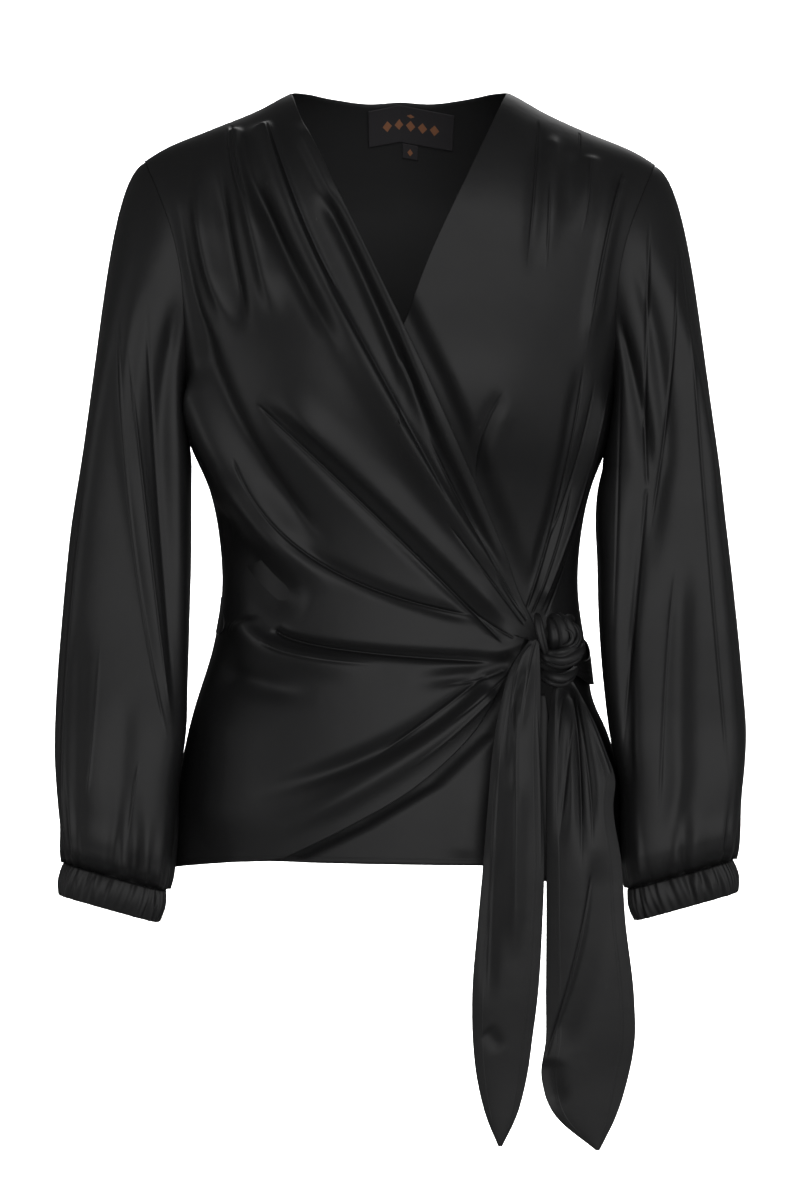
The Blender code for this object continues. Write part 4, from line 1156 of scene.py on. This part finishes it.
# %% [markdown]
# ## Finishes
# Satin has long floats of thread on its face, so it is smooth and softly bright where it faces the light
# and falls to near black where it turns away. Fine streaks follow the warp. A turned edge is double, so
# it stands up a little, with a line of small stitches along it.

# %% Shader helper
class Value:
    """A shader socket that can be added, multiplied and so on like a number."""

    def __init__(self, tree, socket):
        self.tree, self.socket = tree, socket

    def node(self, kind, settings=None, out=0, **inputs):
        """Adds a node. Its sockets are set by name, or by place as at0, at1 and so on."""
        made = self.tree.nodes.new(kind)
        for key, value in (settings or {}).items():
            setattr(made, key, value)
        for key, value in inputs.items():
            place = int(key[2:]) if key.startswith("at") else key.replace("_", " ")
            if isinstance(value, Value):
                self.tree.links.new(value.socket, made.inputs[place])
            else:
                made.inputs[place].default_value = value
        return Value(self.tree, made.outputs[out])

    def maths(self, operation, other, swap=False):
        first, second = (other, self) if swap else (self, other)
        return self.node("ShaderNodeMath", {"operation": operation}, at0=first, at1=second)

    def one(self, operation):
        return self.node("ShaderNodeMath", {"operation": operation}, at0=self)

    def __neg__(self):
        return self * -1.0

    def clamp(self):
        return self.node("ShaderNodeClamp", at0=self)

    def less(self, other):
        return self.maths("LESS_THAN", other)

    def parts(self):
        made = self.tree.nodes.new("ShaderNodeSeparateXYZ")
        self.tree.links.new(self.socket, made.inputs[0])
        return [Value(self.tree, socket) for socket in made.outputs]

    def kept(self, name):
        """What the points of a piece keep under this name."""
        return self.node("ShaderNodeAttribute", {"attribute_name": name}, out=1)


# %% Shader maths
def operator(operation, swap=False):
    return lambda value, other: value.maths(operation, other, swap)


for word, operation in (("add", "ADD"), ("sub", "SUBTRACT"), ("mul", "MULTIPLY"), ("truediv", "DIVIDE")):
    setattr(Value, f"__{word}__", operator(operation))
    setattr(Value, f"__r{word}__", operator(operation, swap=True))
print("operators:", [name for name in vars(Value) if name.startswith("__r") and name != "__repr__"])


def new_finish(name):
    """A new material: itself, its tree, its main shader and the map of the cut."""
    made = bpy.data.materials.new(name)
    made.use_nodes = True
    tree = made.node_tree
    shader = tree.nodes["Principled BSDF"]
    cut = tree.nodes.new("ShaderNodeUVMap")
    cut.uv_map = "cut"
    return made, tree, shader, Value(tree, cut.outputs["UV"])


# %% Satin
CREASE_SETS = 6
HEM_DEEP = 7.5 * MM
HEM_EDGE = 0.5 * MM
HEM_RISE = 0.16 * MM
STITCH = 2.8 * MM
STITCH_FROM_EDGE = 1.2 * MM
STITCH_HALF = 0.22 * MM
STITCH_RISE = 0.12 * MM
STITCH_SHARE = 0.66
# Floats of the thread run along the cut: how often they change across it and along it, a metre.
THREADS = (900.0, 22.0, 1.0)
THREAD_RISE = 0.03 * MM
SOFT_SPOTS = 26.0
SOFT_RISE = 0.7 * MM


def crease_height(cut):
    """Height of the fine creases, from what every point keeps about them."""
    height = 0.0
    for number in range(CREASE_SETS):
        nears = cut.kept(f"near_{number}").parts()
        talls = cut.kept(f"tall_{number}").parts()
        for near, tall in zip(nears, talls):
            height = tall * (-(near * near)).one("EXPONENT") + height
    return height


def hem_marks(cut):
    """Height of a turned edge, and where its stitches lie."""
    from_edge, along, is_hem = cut.kept("hem").parts()
    turned = is_hem * (1 - (from_edge - HEM_DEEP) / HEM_EDGE).clamp()
    on_line = (from_edge - (HEM_DEEP - STITCH_FROM_EDGE)).one("ABSOLUTE").less(STITCH_HALF)
    stitch = is_hem * on_line * (along / STITCH).one("FRACT").less(STITCH_SHARE)
    return turned, stitch


def satin(name, roughness, shade, shine):
    """Black satin: its roughness, how pale it is, and how much it mirrors."""
    made, tree, shader, cut = new_finish(name)
    along = cut.node("ShaderNodeMapping", at0=cut, Scale=THREADS)
    threads = cut.node("ShaderNodeTexNoise", Vector=along, Scale=1.0, Detail=3.0)
    place = cut.node("ShaderNodeTexCoord", out=3)
    soft = cut.node("ShaderNodeTexNoise", Vector=place, Scale=SOFT_SPOTS, Detail=3.0)
    turned, stitch = hem_marks(cut)
    height = threads * THREAD_RISE + soft * SOFT_RISE
    height = height + turned * HEM_RISE + stitch * STITCH_RISE + crease_height(cut)
    bump = cut.node("ShaderNodeBump", Strength=1.0, Distance=1.0, Height=height)
    tree.links.new(bump.socket, shader.inputs["Normal"])
    rough = roughness + 0.06 * (soft - 0.5) + 0.15 * stitch
    tree.links.new(rough.socket, shader.inputs["Roughness"])
    shader.inputs["Base Color"].default_value = (shade, shade, shade * 1.04, 1)
    shader.inputs["Specular IOR Level"].default_value = shine
    return made


SATIN = satin("black_satin", roughness=0.48, shade=0.0105, shine=0.29)
# The reverse has the short side of the floats, so it is more matt. Its base colour is twice as pale as the
# face's, and that is partly painted light: it brightens the inside of the back, which the lights barely
# reach. Solidify gives it to the inner face.
REVERSE = satin("black_satin_reverse", roughness=0.62, shade=0.021, shine=0.27)
print("satin nodes:", len(SATIN.node_tree.nodes))

# %% Label and thread finishes
LABEL_WIDE, LABEL_TALL = CUT_LABEL
TAPE = (0.034, 0.032, 0.035, 1)
COPPER = (0.30, 0.13, 0.065, 1)
WEAVE = (9000.0, 7000.0)
WEAVE_RISE = 0.03 * MM
MARK_RISE = 0.08 * MM
DIAMOND_STEP = 9.2 * MM
DIAMOND = (3.6 * MM, 5.2 * MM)
TOP_DIAMOND_UP = 9.8 * MM
TOP_DIAMOND = (3.0 * MM, 2.0 * MM)
SIZE_DIAMOND = (6 * MM, 6.6 * MM, 2.2 * MM, 3.0 * MM)


def diamond(x, y, middle_x, middle_y, half_wide, half_tall):
    beside_it = (x - middle_x).one("ABSOLUTE") / half_wide
    return (beside_it + (y - middle_y).one("ABSOLUTE") / half_tall).less(1.0)


def woven(name, marks):
    """A dark woven tape with copper marks, each (middle x, middle y, half wide, half tall) in metres."""
    made, tree, shader, cut = new_finish(name)
    x, y, _ = cut.parts()
    weave = (x * WEAVE[0]).one("SINE") * (y * WEAVE[1]).one("SINE")
    mark = 0.0
    for row in marks:
        mark = diamond(x, y, *row).maths("MAXIMUM", mark)
    colour = cut.node("ShaderNodeMix", {"data_type": "RGBA"}, out=2, at0=mark, at6=TAPE, at7=COPPER)
    tree.links.new(colour.socket, shader.inputs["Base Color"])
    height = weave * WEAVE_RISE + mark * MARK_RISE
    bump = cut.node("ShaderNodeBump", Strength=0.5, Distance=1.0, Height=height)
    tree.links.new(bump.socket, shader.inputs["Normal"])
    shader.inputs["Roughness"].default_value = 0.7
    shader.inputs["Specular IOR Level"].default_value = 0.3
    return made


MIDDLE = LABEL_TALL * 0.55
LABEL_MARKS = [(LABEL_WIDE / 2 + step * DIAMOND_STEP, MIDDLE, *DIAMOND) for step in (-2, -1, 0, 1, 2)]
LABEL_MARKS.append((LABEL_WIDE / 2, MIDDLE - TOP_DIAMOND_UP, *TOP_DIAMOND))
LABEL_FINISH = woven("woven_label", LABEL_MARKS)
SIZE_FINISH = woven("woven_size_tab", [SIZE_DIAMOND])
THREAD_FINISH, _, shader, _ = new_finish("sewing_thread")
shader.inputs["Base Color"].default_value = (0.01, 0.01, 0.011, 1)
shader.inputs["Roughness"].default_value = 0.6
print("diamonds on the label:", len(LABEL_MARKS))

# %% Finishes given to the pieces
satin_pieces = {
    front_right_cloth: ["front_right"],
    front_left_cloth: ["front_left"],
    back_cloth: ["back"],
    sleeve_cloths["right"]: ["sleeve_right"],
    sleeve_cloths["left"]: ["sleeve_left"],
    cuff_cloths["right"]: ["cuff_right"],
    cuff_cloths["left"]: ["cuff_left"],
    tail_front_cloth: ["tail_front"],
    tail_side_cloth: ["tail_side"],
    waist_cloth: ["tie_waist"],
    strand_cloths["roll"]: ["knot_roll"],
    strand_cloths["bulb"]: ["knot_bulb"],
    strand_cloths["first_pass"]: ["knot_wrap"],
}
for made in strand_cloths.values():
    satin_pieces.setdefault(made, [])
for piece, nodes in satin_pieces.items():
    piece.data.materials.append(SATIN)
    piece.data.materials.append(REVERSE)
    piece.modifiers["thickness"].material_offset = 1
    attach(piece, "root")
    if nodes:
        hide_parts(*nodes)
for piece, node, finish, slot in (
    (label_cloth, "neck_label", LABEL_FINISH, "woven_label"),
    (size_cloth, "size_tab", SIZE_FINISH, "woven_label"),
    (loop_thread, "side_loop", THREAD_FINISH, "thread"),
):
    piece.data.materials.append(finish)
    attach(piece, "root")
    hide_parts(node)
print("pieces in satin:", len(satin_pieces))

# %% [markdown]
# ## Camera, floor and light
# The blouse is seen straight on with next to no perspective, so the camera stands 4 m off with a long
# lens. Black satin shows only what it mirrors: one very wide soft light in front gives it its broad soft
# sheen, and weak lights at the sides and behind part the sleeves and the back from the dark. A lit pale
# sweep stands far behind, so that it fills the picture without showing in the cloth.

# %% Camera
CAMERA_AWAY = 4.0
PICTURE_HEIGHT = 0.936
EYE_LEVEL = -0.3744
SENSOR = 36
camera_data = bpy.data.cameras.new("camera")
camera_data.sensor_fit = "VERTICAL"
camera_data.sensor_height = SENSOR
camera_data.lens = SENSOR * CAMERA_AWAY / PICTURE_HEIGHT
camera = bpy.data.objects.new("camera", camera_data)
camera.location = (0, -CAMERA_AWAY, EYE_LEVEL)
camera.rotation_euler = (math.radians(90), 0, 0)
bpy.context.scene.collection.objects.link(camera)
bpy.context.scene.camera = camera
print("lens, mm:", round(camera_data.lens))

# %% Floor and backdrop
SWEEP_WIDE = 20
SWEEP_LONG = 17
FLOOR_LONG = 10
BEND = 2.0
SWEEP_FRONT = -6.0
FLOOR_LEVEL = -1.28
net = bmesh.new()
bmesh.ops.create_grid(net, x_segments=1, y_segments=60, size=0.5)
for vert in net.verts:
    way = (vert.co.y + 0.5) * SWEEP_LONG
    past_floor = max(way - FLOOR_LONG, 0)
    angle = min(past_floor / BEND, math.pi / 2)
    y = min(way, FLOOR_LONG) + BEND * math.sin(angle)
    z = BEND * (1 - math.cos(angle)) + past_floor - BEND * angle
    vert.co = (vert.co.x * SWEEP_WIDE, SWEEP_FRONT + y, FLOOR_LEVEL + z)
sweep_mesh = bpy.data.meshes.new("studio_sweep")
net.to_mesh(sweep_mesh)
net.free()
sweep_mesh.shade_smooth()
sweep = bpy.data.objects.new("studio_sweep", sweep_mesh)
bpy.context.scene.collection.objects.link(sweep)
paper = bpy.data.materials.new("pale_paper")
paper.use_nodes = True
paper_shader = paper.node_tree.nodes["Principled BSDF"]
paper_shader.inputs["Base Color"].default_value = (0.9, 0.9, 0.9, 1)
paper_shader.inputs["Roughness"].default_value = 1
sweep_mesh.materials.append(paper)
# The white ground is cut out in the picture, so the paper isn't mirrored in the satin's edges.
sweep.visible_glossy = False
print("sweep, m:", SWEEP_WIDE, "by", SWEEP_LONG)

# %% Light
def softbox(name, place, size, power, aim=(0, 0, -0.35)):
    """A soft square light that the camera doesn't see; places in metres, power in watts."""
    data = bpy.data.lights.new(name, "AREA")
    data.shape = "RECTANGLE"
    data.size, data.size_y = size
    data.energy = power
    made = bpy.data.objects.new(name, data)
    made.location = place
    made.rotation_euler = (Vector(aim) - Vector(place)).to_track_quat("-Z", "Y").to_euler()
    made.visible_camera = False
    bpy.context.scene.collection.objects.link(made)


softbox("key_light", (1.9, -4.3, 0.95), (7.0, 4.4), 168, aim=(1.9, 0, 0.95))
softbox("left_light", (-3.1, -0.9, -0.3), (1.0, 2.2), 15)
softbox("right_light", (3.1, -0.8, -0.3), (1.0, 2.2), 8)
softbox("rear_light", (0.5, 3.2, 2.0), (2.4, 1.6), 26)
softbox("backdrop_light", (0, 2.0, 0.6), (5.0, 2.4), 700, aim=(0, 5.6, -0.7))
world = bpy.data.worlds.new("studio")
bpy.context.scene.world = world
world.use_nodes = True
room = world.node_tree.nodes["Background"]
room.inputs["Color"].default_value = (1, 1, 1, 1)
room.inputs["Strength"].default_value = 0.09
bpy.context.scene.view_settings.view_transform = "Standard"
print("lights:", len(bpy.data.lights))

# %% [markdown]
# ## Satin used
# Flat sizes are what the satin would measure laid out, width by length, with the area. They are kept for
# every cloth as it is made, and here the areas are added up.

print("sheets of satin, m2:", round(sum(area for _, _, area in sizes.values()), 2))
